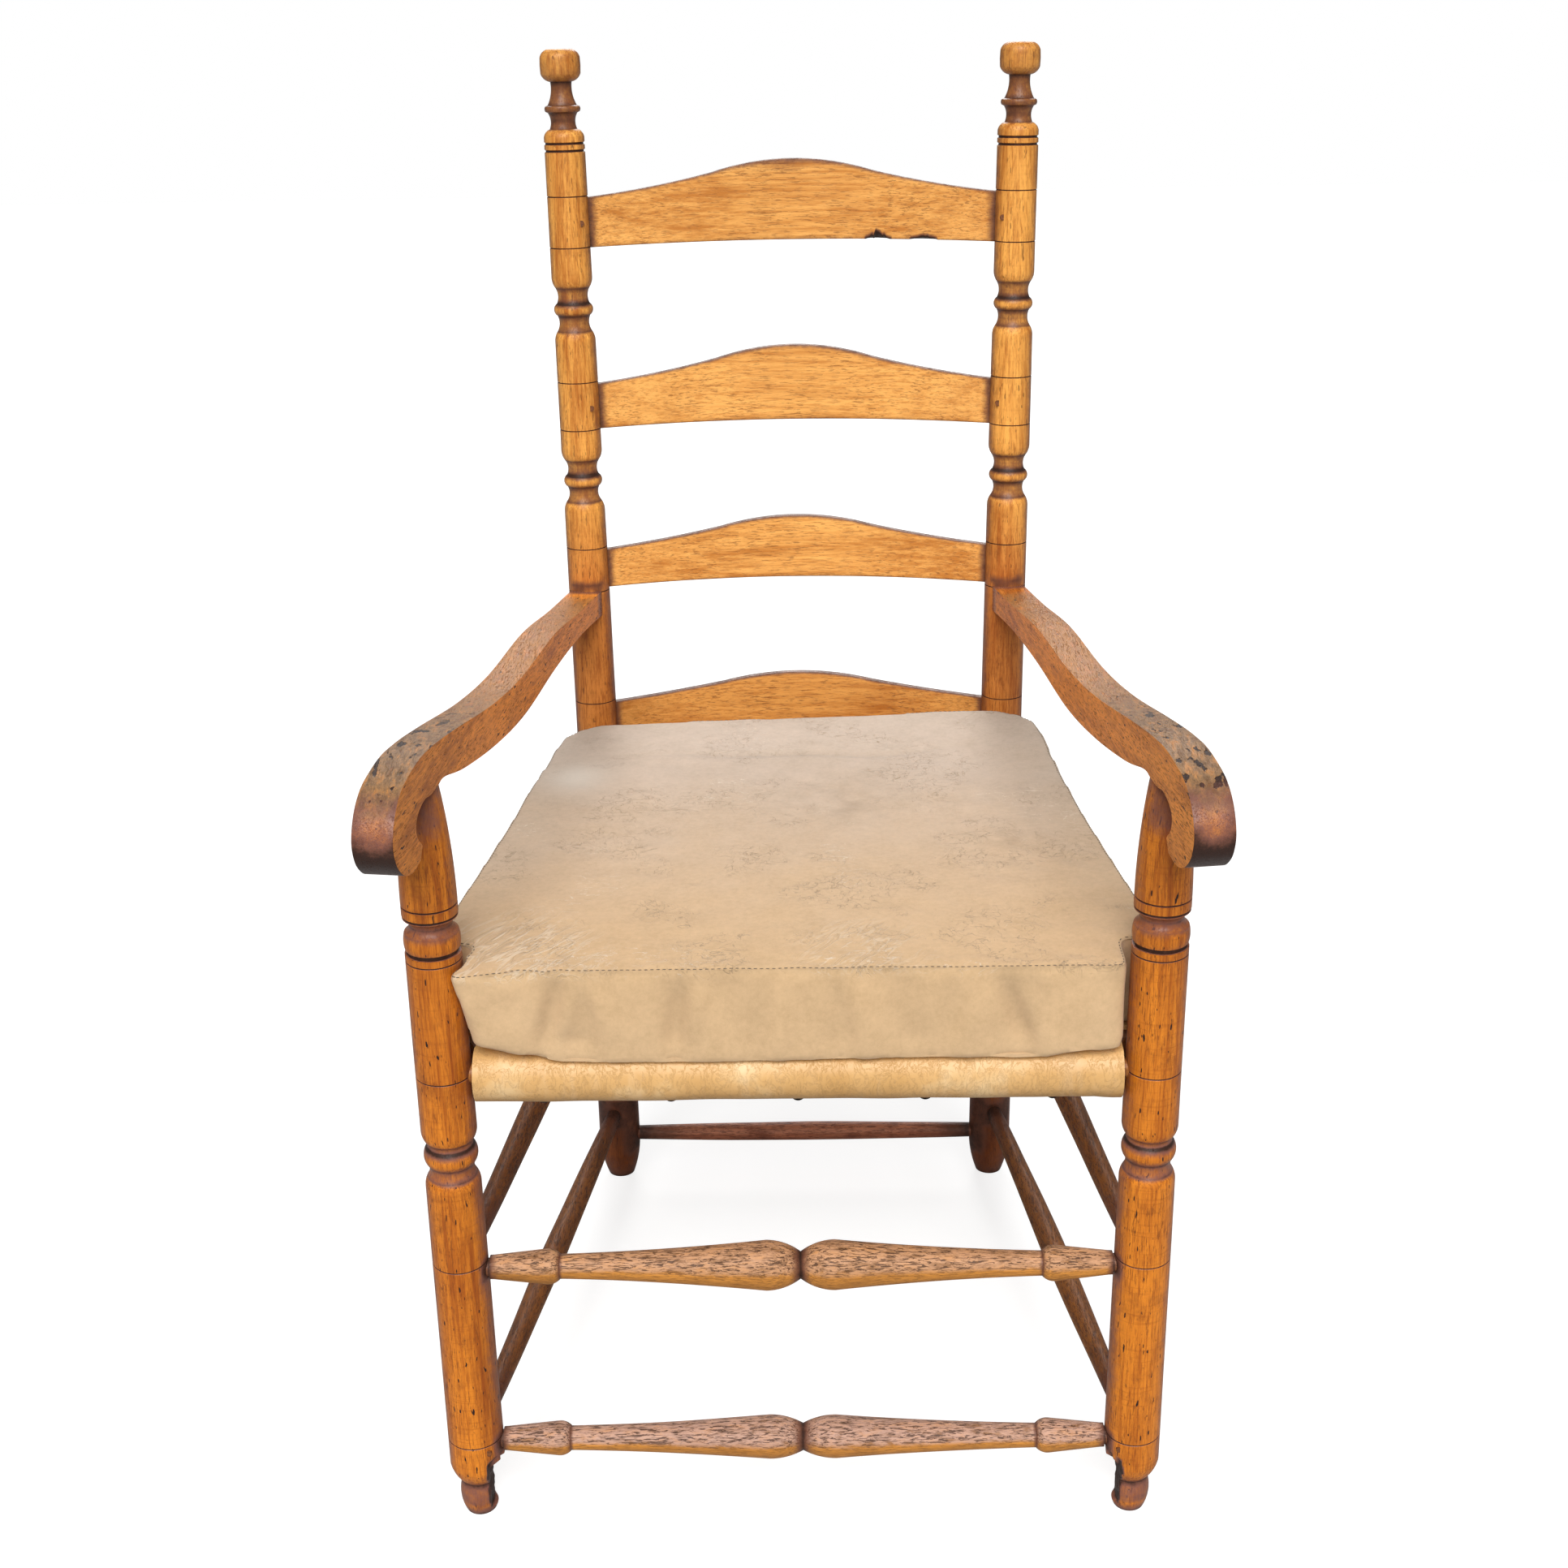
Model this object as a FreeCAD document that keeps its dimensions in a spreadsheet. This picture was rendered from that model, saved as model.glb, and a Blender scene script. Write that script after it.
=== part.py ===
"""Ladder-back armchair: turned posts, bent slats, scrolled arms, leather seat and a loose cushion.

Millimetres, +Z up. The chair faces -Y and its origin is on the floor, under the middle of its box.
"""
import FreeCAD, Part
import math
import os
import Sketcher

Vector = FreeCAD.Vector
UP = Vector(0, 0, 1)
FULL_TURN = 360
SIDES = {"left": -1, "right": 1}

# Driving dimensions, by the piece that they shape
SIZES = {
    # Stance of the four posts, between their axes
    "origin_to_front_posts": 248.1,
    "front_half_spread": 276.5,
    "seat_run": 520,
    "back_half_spread": 198.5,
    "back_splay": 10,
    "back_rake": 59,
    # Room between pieces that fit together
    "fit": 0.15,
    "end_room": 0.5,
    "tenon_web": 2,
    "cut_overrun": 4,
    # Back posts: a tapering shaft on a whittled foot
    "post_head": 129.5,
    "back_radius_low": 21.7,
    "back_radius_high": 18.4,
    "back_foot_radius": 13,
    "back_foot_height": 44,
    # Bead between two coves, turned twice into each back post
    "upper_bead_drop": 56,
    "lower_bead_drop": 49,
    "back_bead_radius": 18.4,
    "back_bead_root": 15.4,
    "back_bead_width": 11,
    "back_cove_radius": 13.9,
    "back_turning_reach": 29,
    "back_shoulder_drop": 3,
    "back_shoulder_width": 9,
    # Finial at the head of a back post
    "finial_shoulder_drop": 76,
    "finial_shoulder_width": 6,
    "finial_root_radius": 12.2,
    "finial_cove_radius": 11.4,
    "finial_cove_width": 13,
    "finial_ring_radius": 15.9,
    "finial_ring_width": 10,
    "finial_neck_radius": 9.6,
    "knob_radius": 18.2,
    "knob_round": 7,
    "knob_height": 28,
    # Front posts: shaft, rounded foot and a bottle neck under the arm
    "front_post_rise": 244,
    "front_radius_low": 23.4,
    "front_radius_high": 21.6,
    "front_foot_flat": 12.8,
    "front_foot_radius": 16.6,
    "front_foot_neck": 14.4,
    "front_foot_height": 32,
    "front_ankle_height": 18,
    "front_bead_height": 353,
    "front_bead_radius": 21.4,
    "front_bead_root": 18.8,
    "front_bead_width": 13,
    "front_cove_radius": 18.1,
    "front_turning_reach": 30,
    "front_shoulder_drop": 2.6,
    "front_shoulder_width": 9,
    "vase_drop": 132,
    "vase_shoulder": 17,
    "vase_neck_radius": 17.2,
    "vase_neck_width": 8,
    "vase_band_width": 12,
    "arm_neck_radius": 14.5,
    "arm_neck_swell": 19.8,
    "arm_post_tenon_radius": 9.5,
    "arm_post_tenon_length": 22,
    # Slats: bent boards, each with its gap to what is below it, the height of its ends and its rise
    "slat_thickness": 9,
    "slat_bow": 27,
    "slat_end_to_axis": 6,
    "slat_under_rise": 2.8,
    "top_slat_gap": 126,
    "top_slat_end": 45.5,
    "top_slat_rise": 30.5,
    "second_slat_gap": 118,
    "second_slat_end": 43,
    "second_slat_rise": 31,
    "third_slat_gap": 118,
    "third_slat_end": 38,
    "third_slat_rise": 26.3,
    "bottom_slat_gap": 74,
    "bottom_slat_end": 34,
    "bottom_slat_rise": 22,
    # Arms: planks sawn to a double curve that ends in a scroll
    "arm_overhang": 107.6,
    "arm_seat_rise": 36,
    "arm_rise": 72,
    "arm_thickness": 30,
    "arm_seat_room": 3,
    "arm_tenon_height": 19,
    "arm_tenon_width": 17,
    "arm_tenon_drop": 5,
    "arm_tenon_to_axis": 7.5,
    # Seat rails and the stretchers under them
    "rail_height": 424,
    "rail_radius": 20.5,
    "rail_tenon_radius": 8,
    "rail_shoulder_room": 1.5,
    "stretcher_tenon_radius": 7.5,
    "upper_front_height": 243,
    "lower_front_height": 70,
    "front_end_radius": 9.8,
    "front_ring_to_axis": 70,
    "front_ring_radius": 14.4,
    "front_ring_step": 11,
    "front_waist_radius": 10.1,
    "upper_bulb_radius": 20.2,
    "lower_bulb_radius": 17.8,
    "bulb_to_middle": 28,
    "bulb_pinch_radius": 11.5,
    "upper_side_front": 243,
    "upper_side_back": 270,
    "lower_side_front": 74,
    "lower_side_back": 79,
    "side_radius": 11.5,
    "back_stretcher_height": 46,
    "back_stretcher_radius": 10,
    # Wooden pegs
    "peg_radius": 2.7,
    "peg_proud": 0.6,
    "slat_peg_depth": 26,
    "slat_peg_to_axis": 12.8,
    "arm_peg_depth": 25,
    "arm_peg_forward": 12.5,
    "arm_peg_rise": 12,
    "stretcher_peg_depth": 33,
    "stretcher_peg_to_axis": 13,
    # Leather seat, drawn over the rails and tacked under them
    "leather_thickness": 3,
    "leather_room": 0.3,
    "leather_post_room": 2,
    "leather_wrap_angle": 205,
    "tack_head_radius": 5,
    "tack_head_height": 2.2,
    "tack_shank_radius": 1.3,
    "tack_length": 12,
    # Loose box cushion, with a tongue between the front posts
    "cushion_room": 0.3,
    "cushion_overhang": 20,
    "cushion_post_room": 3,
    "cushion_corner": 14,
    "cushion_ear": 0.5,
    "cushion_ear_run": 34,
    "cushion_back_corner": 50,
    "cushion_side_draw": 5,
    "cushion_front_height": 74,
    "cushion_side_height": 74,
    "cushion_back_height": 70,
    "cushion_crown": 12,
    "cushion_end_crown": 3,
    "cushion_edge_round": 9,
    "cushion_back_half": 232,
}

# Turned curves as shares: how far each bulges from the straight line between its ends
SHOULDER_SHARE = 0.25
FINIAL_SHARE = 0.2
FOOT_SHARE = 0.78
ANKLE_SHARE = 0.17
VASE_SHARE = 0.04
RING_SHARE = 0.86
SLIM_SHARE = 0.35
BULB_SHARE = 0.75
SWELL_SHARE = 0.65
TACK_TOP_SHARE = 0.35
TACK_DOME_SHARE = 0.8
# Slat edges as shares: where the crest starts, how high it starts and how far the sides hollow
CREST_SHARE = 0.4
CREST_RISE_SHARE = 0.625
HOLLOW_SHARE = 0.062
# Arm outline as shares of its reach, from the back post, and of its rise, from its lowest edge
ARM_TOP_SHARES = ((0, 0.236), (0.135, 0.333), (0.286, 0.486), (0.466, 0.486), (0.602, 0.597),
                  (0.752, 0.833), (0.887, 0.993), (0.96, 0.9), (1, 0.5), (0.982, 0.12), (0.943, -0.03),
                  (0.914, 0), (0.907, 0.11), (0.919, 0.23), (0.923, 0.37), (0.91, 0.49), (0.885, 0.53))
ARM_UNDER_SHARES = ((0.737, 0.32), (0.602, 0.11), (0.466, 0.007), (0.301, 0.056), (0.15, 0.028), (0, -0.11))
# How far a rounded corner of the cushion keeps from its square
CORNER_SHARE = 0.29
# Where the tacks stand along each rail
TACK_SHARES = (0.14, 0.32, 0.5, 0.68, 0.86)

# Slats from the seat up, and which of them are pegged
SLATS = ("bottom_slat", "third_slat", "second_slat", "top_slat")
PEGGED_SLATS = SLATS[2:]

doc = FreeCAD.newDocument("ladder_back_armchair")
sheet = doc.addObject("Spreadsheet::Sheet", "dim")
for row, (alias, value) in enumerate(SIZES.items(), start=1):
    sheet.set(f"A{row}", alias)
    sheet.set(f"B{row}", str(value))
    sheet.setAlias(f"B{row}", alias)
doc.recompute()

pieces = {}
rooms = {}


def number(expression):
    """Value of an expression over the sheet."""
    return float(sheet.evalExpression(expression))


def point(place):
    """Vector of a place given as three expressions."""
    return Vector(*[number(part) for part in place])


def span(start, end):
    """Expression for the distance between two places."""
    return "sqrt(" + " + ".join(f"(({b}) - ({a}))^2" for a, b in zip(start, end)) + ")"


def along(start, end):
    """Placement at the start with its Z axis towards the end."""
    origin = point(start)
    return FreeCAD.Placement(origin, FreeCAD.Rotation(UP, point(end) - origin))


def shifted(x, y, z):
    """Placement moved by three expressions and not turned."""
    return FreeCAD.Placement(point((x, y, z)), FreeCAD.Rotation())


def slat_low(name):
    """Height of a slat's lower edge: the slats stand above each other, from the seat rails up."""
    stack = "dim.rail_height"
    for below in SLATS[:SLATS.index(name)]:
        stack += f" + dim.{below}_gap + dim.{below}_end"
    return f"({stack} + dim.{name}_gap)"


POST_TOP = f"({slat_low('top_slat')} + dim.top_slat_end + dim.post_head)"
FRONT_TOP = "(dim.rail_height + dim.front_post_rise)"
VASE = f"({FRONT_TOP} - dim.vase_drop)"
ARM_LOW = f"({FRONT_TOP} - dim.arm_seat_rise)"
ARM_TENON_LOW = f"({ARM_LOW} - dim.arm_tenon_drop)"
ARM_LEVEL = f"({ARM_TENON_LOW} + dim.arm_tenon_height / 2)"


def front_axis(side, height):
    """Place on a front post's axis."""
    return (f"{side} * dim.front_half_spread", "-dim.origin_to_front_posts", height)


def back_axis(side, height):
    """Place on a back post's axis, which leans back and outwards."""
    rise = f"({height}) / {POST_TOP}"
    return (f"{side} * (dim.back_half_spread + dim.back_splay * {rise})",
            f"dim.seat_run + dim.back_rake * {rise} - dim.origin_to_front_posts", height)


def back_radius(height):
    """Radius of a back post's tapering shaft."""
    return ("(dim.back_radius_low + (dim.back_radius_high - dim.back_radius_low)"
            f" * ({height}) / {POST_TOP})")


def front_radius(height):
    """Radius of a front post's tapering shaft."""
    return ("(dim.front_radius_low + (dim.front_radius_high - dim.front_radius_low)"
            f" * ({height}) / {VASE})")


def draw(body, plane, name, outline):
    """Closed sketch on one of a body's own planes.

    A corner is x, y and, where the edge after it is an arc, a point that the arc passes through.
    """
    sketch = body.newObject("Sketcher::SketchObject", name)
    base = [feature for feature in body.Origin.OriginFeatures if feature.Role == plane][0]
    sketch.AttachmentSupport = [(base, "")]
    sketch.MapMode = "FlatFace"

    def pin(geometry, end, x, y):
        for kind, size in (("DistanceX", x), ("DistanceY", y)):
            held = Sketcher.Constraint(kind, -1, 1, geometry, end, number(size))
            sketch.setExpression(f"Constraints[{sketch.addConstraint(held)}]", size)

    corners = [Vector(number(corner[0]), number(corner[1]), 0) for corner in outline]
    edges = []
    for index, corner in enumerate(outline):
        start, end = corners[index], corners[(index + 1) % len(corners)]
        if len(corner) == 2:
            edges.append((sketch.addGeometry(Part.LineSegment(start, end)), 1, 2))
            continue
        via = Vector(number(corner[2]), number(corner[3]), 0)
        arc = sketch.addGeometry(Part.Arc(start, via, end))
        first, last = (sketch.getPoint(arc, end_id).distanceToPoint(start) for end_id in (1, 2))
        forward = first < last
        edges.append((arc, 1, 2) if forward else (arc, 2, 1))
    for index, corner in enumerate(outline):
        edge, first, last = edges[index]
        after, after_first, _ = edges[(index + 1) % len(edges)]
        sketch.addConstraint(Sketcher.Constraint("Coincident", edge, last, after, after_first))
        pin(edge, first, corner[0], corner[1])
        if len(corner) > 2:
            mark = sketch.addGeometry(Part.Point(Vector(number(corner[2]), number(corner[3]), 0)), True)
            sketch.addConstraint(Sketcher.Constraint("PointOnObject", mark, 1, edge))
            pin(mark, 1, corner[2], corner[3])
    return sketch


def turn(name, outline, placement):
    """Body turned about its own Z axis, from corners of radius, height and the radius halfway up an arc."""
    body = doc.addObject("PartDesign::Body", name)
    corners = [("0", outline[0][1])]
    for index, corner in enumerate(outline):
        halfway = ()
        if len(corner) > 2:
            halfway = (corner[2], f"(({corner[1]}) + ({outline[index + 1][1]})) / 2")
        corners.append((corner[0], corner[1], *halfway))
    corners.append(("0", outline[-1][1]))
    revolution = body.newObject("PartDesign::Revolution", name + "_revolution")
    revolution.Profile = draw(body, "XZ_Plane", name + "_outline", corners)
    revolution.ReferenceAxis = (revolution.Profile[0], ["V_Axis"])
    revolution.Angle = FULL_TURN
    body.Tip = revolution
    body.Placement = placement
    return body


def pad(name, plane, outline, length, symmetric=False):
    """Body padded from a closed outline on one of its planes."""
    body = doc.addObject("PartDesign::Body", name)
    feature = body.newObject("PartDesign::Pad", name + "_pad")
    feature.Profile = draw(body, plane, name + "_outline", outline)
    feature.SideType = "Symmetric" if symmetric else "One side"
    feature.setExpression("Length", length)
    body.Tip = feature
    return body


def rod(name, placement, radius, length):
    """Plain cylinder along a placement's Z axis."""
    cylinder = doc.addObject("Part::Cylinder", name)
    cylinder.setExpression("Radius", radius)
    cylinder.setExpression("Height", length)
    cylinder.Placement = placement
    return cylinder


def block(name, placement, length, width, height):
    """Plain box along a placement's axes."""
    box = doc.addObject("Part::Box", name)
    box.setExpression("Length", length)
    box.setExpression("Width", width)
    box.setExpression("Height", height)
    box.Placement = placement
    return box


def cut(label, base, tools):
    """Base with the room of all the tools taken out of it."""
    room = tools[0]
    if len(tools) > 1:
        room = doc.addObject("Part::MultiFuse", label + "_room")
        room.Shapes = tools
    result = doc.addObject("Part::Cut", label)
    result.Base = base
    result.Tool = room
    return result


def group(label, members):
    """Several separate solids kept as one piece."""
    compound = doc.addObject("Part::Compound", label)
    compound.Links = members
    pieces[label] = compound


def add_room(piece, tool):
    """Keeps a tool that a piece is cut with when it is finished."""
    rooms.setdefault(piece, []).append(tool)


def finish(label, base):
    """Takes a piece's rooms out of it and lists it among the pieces."""
    tools = rooms.get(label)
    pieces[label] = cut(label, base, tools) if tools else base
    pieces[label].Label = label


def socket(piece, name, axis, towards, radius, to_axis):
    """Round mortise in a post, from near its axis out past its surface."""
    depth = "dim.front_radius_low + dim.cut_overrun"
    start = f"{to_axis} - dim.end_room"
    placement = along(axis, towards) * shifted("0", "0", start)
    add_room(piece, rod(name, placement, f"{radius} + dim.fit", f"{depth} - ({start})"))


def turning(centre, shaft, prefix):
    """Corners of a bead between two coves, with a rounded shoulder at each end of the shaft."""
    reach, drop = f"dim.{prefix}_turning_reach", f"dim.{prefix}_shoulder_drop"
    width, bead = f"dim.{prefix}_shoulder_width", f"dim.{prefix}_bead_width / 2"
    cove, root = f"dim.{prefix}_cove_radius", f"dim.{prefix}_bead_root"
    shoulder = f"{shaft} - {drop}"
    edge = f"{shaft} - {drop} * {SHOULDER_SHARE}"
    return [(shaft, f"{centre} - {reach}", edge),
            (shoulder, f"{centre} - {reach} + {width}", cove),
            (root, f"{centre} - {bead}", f"dim.{prefix}_bead_radius"),
            (root, f"{centre} + {bead}", cove),
            (shoulder, f"{centre} + {reach} - {width}", edge),
            (shaft, f"{centre} + {reach}")]


def finial():
    """Corners of the finial, up from the post's rounded shoulder to the top of the knob."""
    shoulder = f"{POST_TOP} - dim.finial_shoulder_drop"
    cove = f"{shoulder} + dim.finial_shoulder_width"
    ring = f"{cove} + dim.finial_cove_width"
    neck = f"{ring} + dim.finial_ring_width"
    knob = f"{POST_TOP} - dim.knob_height"
    root, round_off = "dim.finial_root_radius", "dim.knob_radius - dim.knob_round"
    knob_edge = f"dim.knob_radius - dim.knob_round * {FINIAL_SHARE}"
    shoulder_edge = f"dim.back_radius_high - dim.finial_shoulder_width * {FINIAL_SHARE}"
    return [(back_radius(shoulder), shoulder, shoulder_edge),
            (root, cove, "dim.finial_cove_radius"),
            (root, ring, "dim.finial_ring_radius"),
            (root, neck, "dim.finial_neck_radius"),
            (round_off, knob, knob_edge),
            ("dim.knob_radius", f"{knob} + dim.knob_round"),
            ("dim.knob_radius", f"{POST_TOP} - dim.knob_round", knob_edge),
            (round_off, POST_TOP)]


def make_back_posts():
    """Two leaning posts with a finial and two turnings; the floor levels their feet."""
    start = "-dim.cut_overrun"
    belly = f"dim.back_foot_radius + (dim.back_radius_low - dim.back_foot_radius) * {FOOT_SHARE}"
    outline = [("dim.back_foot_radius", start, belly),
               (back_radius("dim.back_foot_height"), "dim.back_foot_height")]
    for centre in (f"({slat_low('second_slat')} - dim.lower_bead_drop)",
                   f"({slat_low('top_slat')} - dim.upper_bead_drop)"):
        outline += turning(centre, back_radius(centre), "back")
    outline += finial()
    for hand, side in SIDES.items():
        label = f"back_post_{hand}"
        placement = along(back_axis(side, "0"), back_axis(side, POST_TOP))
        wide = "dim.back_radius_low + dim.cut_overrun"
        corner = back_axis(side, "-dim.cut_overrun * 2")
        floor = shifted(f"{corner[0]} - ({wide})", f"{corner[1]} - ({wide})", corner[2])
        across = f"2 * ({wide})"
        add_room(label, block(f"{label}_floor", floor, across, across, "dim.cut_overrun * 2"))
        finish(label, turn(f"{label}_turned", outline, placement))


def make_front_posts():
    """Two upright posts: rounded foot, shaft with a bead, vase shoulder, banded neck and arm tenon."""
    ankle = "dim.front_foot_height + dim.front_ankle_height"
    neck = f"{VASE} + dim.vase_shoulder"
    band = f"{neck} + dim.vase_neck_width"
    bottle = f"{band} + dim.vase_band_width"
    top, tenon = FRONT_TOP, "dim.arm_post_tenon_radius"
    outline = [("dim.front_foot_flat", "0", "dim.front_foot_radius"),
               ("dim.front_foot_neck", "dim.front_foot_height",
                f"dim.front_radius_low - dim.front_ankle_height * {ANKLE_SHARE}"),
               (front_radius(ankle), ankle)]
    outline += turning("dim.front_bead_height", front_radius("dim.front_bead_height"), "front")
    outline += [("dim.front_radius_high", VASE, f"dim.front_radius_high - dim.vase_shoulder * {VASE_SHARE}"),
                ("dim.vase_neck_radius", neck),
                ("dim.front_radius_high", band),
                ("dim.front_radius_high", bottle, "dim.arm_neck_swell"),
                ("dim.arm_neck_radius", top),
                (tenon, top),
                (tenon, f"{top} + dim.arm_post_tenon_length")]
    for hand, side in SIDES.items():
        placement = shifted(*front_axis(side, "0"))
        finish(f"front_post_{hand}", turn(f"front_post_{hand}_turned", outline, placement))


def back_plane():
    """Placement of the plane through both back posts, tipped by their rake."""
    middle = FreeCAD.Placement(point(("0", back_axis(1, "0")[1], "0")), FreeCAD.Rotation())
    lean = math.degrees(math.atan2(number("dim.back_rake"), number(POST_TOP)))
    return middle * FreeCAD.Placement(Vector(), FreeCAD.Rotation(Vector(1, 0, 0), -lean))


def bow_at(x, half):
    """Expression for how far a slat's middle line lies behind the posts' axes, away from the middle."""
    radius = f"((({half})^2 + dim.slat_bow^2) / (2 * dim.slat_bow))"
    return f"(sqrt({radius}^2 - ({x})^2) - {radius} + dim.slat_bow)"


def make_slat(name):
    """Bent board, arched above and slightly below; its square ends stand in mortises in the back posts."""
    low, end, rise = slat_low(name), f"dim.{name}_end", f"dim.{name}_rise"
    axis = back_axis(1, f"{low} + {end} / 2")[0]
    reach = f"({axis} - dim.slat_end_to_axis)"
    shore = f"({axis} - {back_radius(low)})"
    crest, crest_top = f"{shore} * {CREST_SHARE}", f"({low} + {end} + {rise} * {CREST_RISE_SHARE})"
    eaves = f"({low} + {end})"
    hollow_x = f"({shore} + {crest}) / 2"
    hollow_z = f"({eaves} + {crest_top}) / 2 - {rise} * {HOLLOW_SHARE}"
    face = [(f"-{reach}", low), (f"-{shore}", low, "0", f"{low} + dim.slat_under_rise"), (shore, low),
            (reach, low), (reach, eaves),
            (shore, eaves, hollow_x, hollow_z),
            (crest, crest_top, "0", f"{eaves} + {rise}"),
            (f"-{crest}", crest_top, f"-{hollow_x}", hollow_z),
            (f"-{shore}", eaves), (f"-{reach}", eaves)]
    deep = "2 * (dim.slat_bow + dim.slat_thickness + dim.cut_overrun)"
    sawn = pad(f"{name}_sawn", "XZ_Plane", face, deep, symmetric=True)
    half = "dim.slat_thickness / 2"
    outer = f"({reach} + dim.cut_overrun)"
    bend = [(f"-{outer}", f"{bow_at(outer, axis)} - {half}", "0", f"dim.slat_bow - {half}"),
            (outer, f"{bow_at(outer, axis)} - {half}"),
            (outer, f"{bow_at(outer, axis)} + {half}", "0", f"dim.slat_bow + {half}"),
            (f"-{outer}", f"{bow_at(outer, axis)} + {half}")]
    tall = f"{low} + {end} + {rise} + dim.cut_overrun"
    bent = pad(f"{name}_bent", "XY_Plane", bend, tall)
    board = doc.addObject("Part::Common", f"{name}_board")
    board.Base = sawn
    board.Tool = bent
    board.Placement = back_plane()
    curve = number(f"(({axis})^2 + dim.slat_bow^2) / (2 * dim.slat_bow)")
    middle = f"({reach} - dim.back_radius_low / 2)"
    slope = math.degrees(math.asin(number(middle) / curve))
    length = "(dim.back_radius_low + dim.slat_thickness / 2 + 2 * dim.end_room)"
    corner = shifted(f"-{length} / 2", f"-{half} - dim.fit", "0")
    for hand, side in SIDES.items():
        seat = shifted(f"{side} * {middle}", bow_at(middle, axis), f"{low} - dim.fit")
        turned = FreeCAD.Placement(Vector(), FreeCAD.Rotation(UP, -side * slope))
        tool = block(f"{name}_mortise_{hand}", back_plane() * seat * turned * corner, length,
                     "dim.slat_thickness + 2 * dim.fit", f"{end} + 2 * dim.fit")
        add_room(f"back_post_{hand}", tool)
    finish(name, board)


def make_slat_pegs(names):
    """Round pegs driven from the front through the posts and the ends of the pegged slats."""
    pegs = []
    for name in names:
        middle = f"({slat_low(name)} + dim.{name}_end / 2)"
        for hand, side in SIDES.items():
            axis = back_axis(1, middle)[0]
            surface = f"sqrt({back_radius(middle)}^2 - dim.slat_peg_to_axis^2)"
            across = f"{side} * ({axis} - dim.slat_peg_to_axis)"
            place = shifted(across, f"-{surface} - dim.peg_proud", middle)
            inwards = FreeCAD.Placement(Vector(), FreeCAD.Rotation(UP, Vector(0, 1, 0)))
            placement = back_plane() * place * inwards
            pegs.append(rod(f"{name}_peg_{hand}", placement, "dim.peg_radius", "dim.slat_peg_depth"))
            hole = rod(f"{name}_peg_hole_{hand}", placement, "dim.peg_radius + dim.fit",
                       "dim.slat_peg_depth + dim.end_room")
            add_room(f"back_post_{hand}", hole)
            add_room(name, hole)
    group("slat_pegs", pegs)


def arm_frame(side):
    """Placement of an arm at its back post: X runs forward to the front post, Z stays up."""
    start, end = point(back_axis(side, ARM_LEVEL)), point(front_axis(side, ARM_LEVEL))
    forward = end - start
    turned = FreeCAD.Rotation(UP, math.degrees(math.atan2(forward.y, forward.x)))
    return FreeCAD.Placement(Vector(start.x, start.y, 0), turned)


def arm_outline():
    """Face of an arm's sawn outline, with a level seat for the front post's neck."""
    seat = span(back_axis(1, ARM_LEVEL), front_axis(1, ARM_LEVEL))
    room = "dim.arm_neck_radius + dim.arm_seat_room"

    def spots(shares):
        return [Vector(number(f"{along_share} * ({seat} + dim.arm_overhang)"), 0,
                       number(f"{ARM_LOW} + {up_share} * dim.arm_rise")) for along_share, up_share in shares]

    top, under = spots(ARM_TOP_SHARES), spots(ARM_UNDER_SHARES)
    seat_front = Vector(number(f"{seat} + {room}"), 0, number(FRONT_TOP))
    seat_back = Vector(number(f"{seat} - ({room})"), 0, number(FRONT_TOP))
    edges = []
    for stretch in (top + [seat_front], [seat_front, seat_back], [seat_back] + under, [under[-1], top[0]]):
        if len(stretch) == 2:
            edges.append(Part.LineSegment(*stretch).toShape())
            continue
        curve = Part.BSplineCurve()
        curve.interpolate(stretch)
        edges.append(curve.toShape())
    return Part.Face(Part.Wire(edges))


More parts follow.
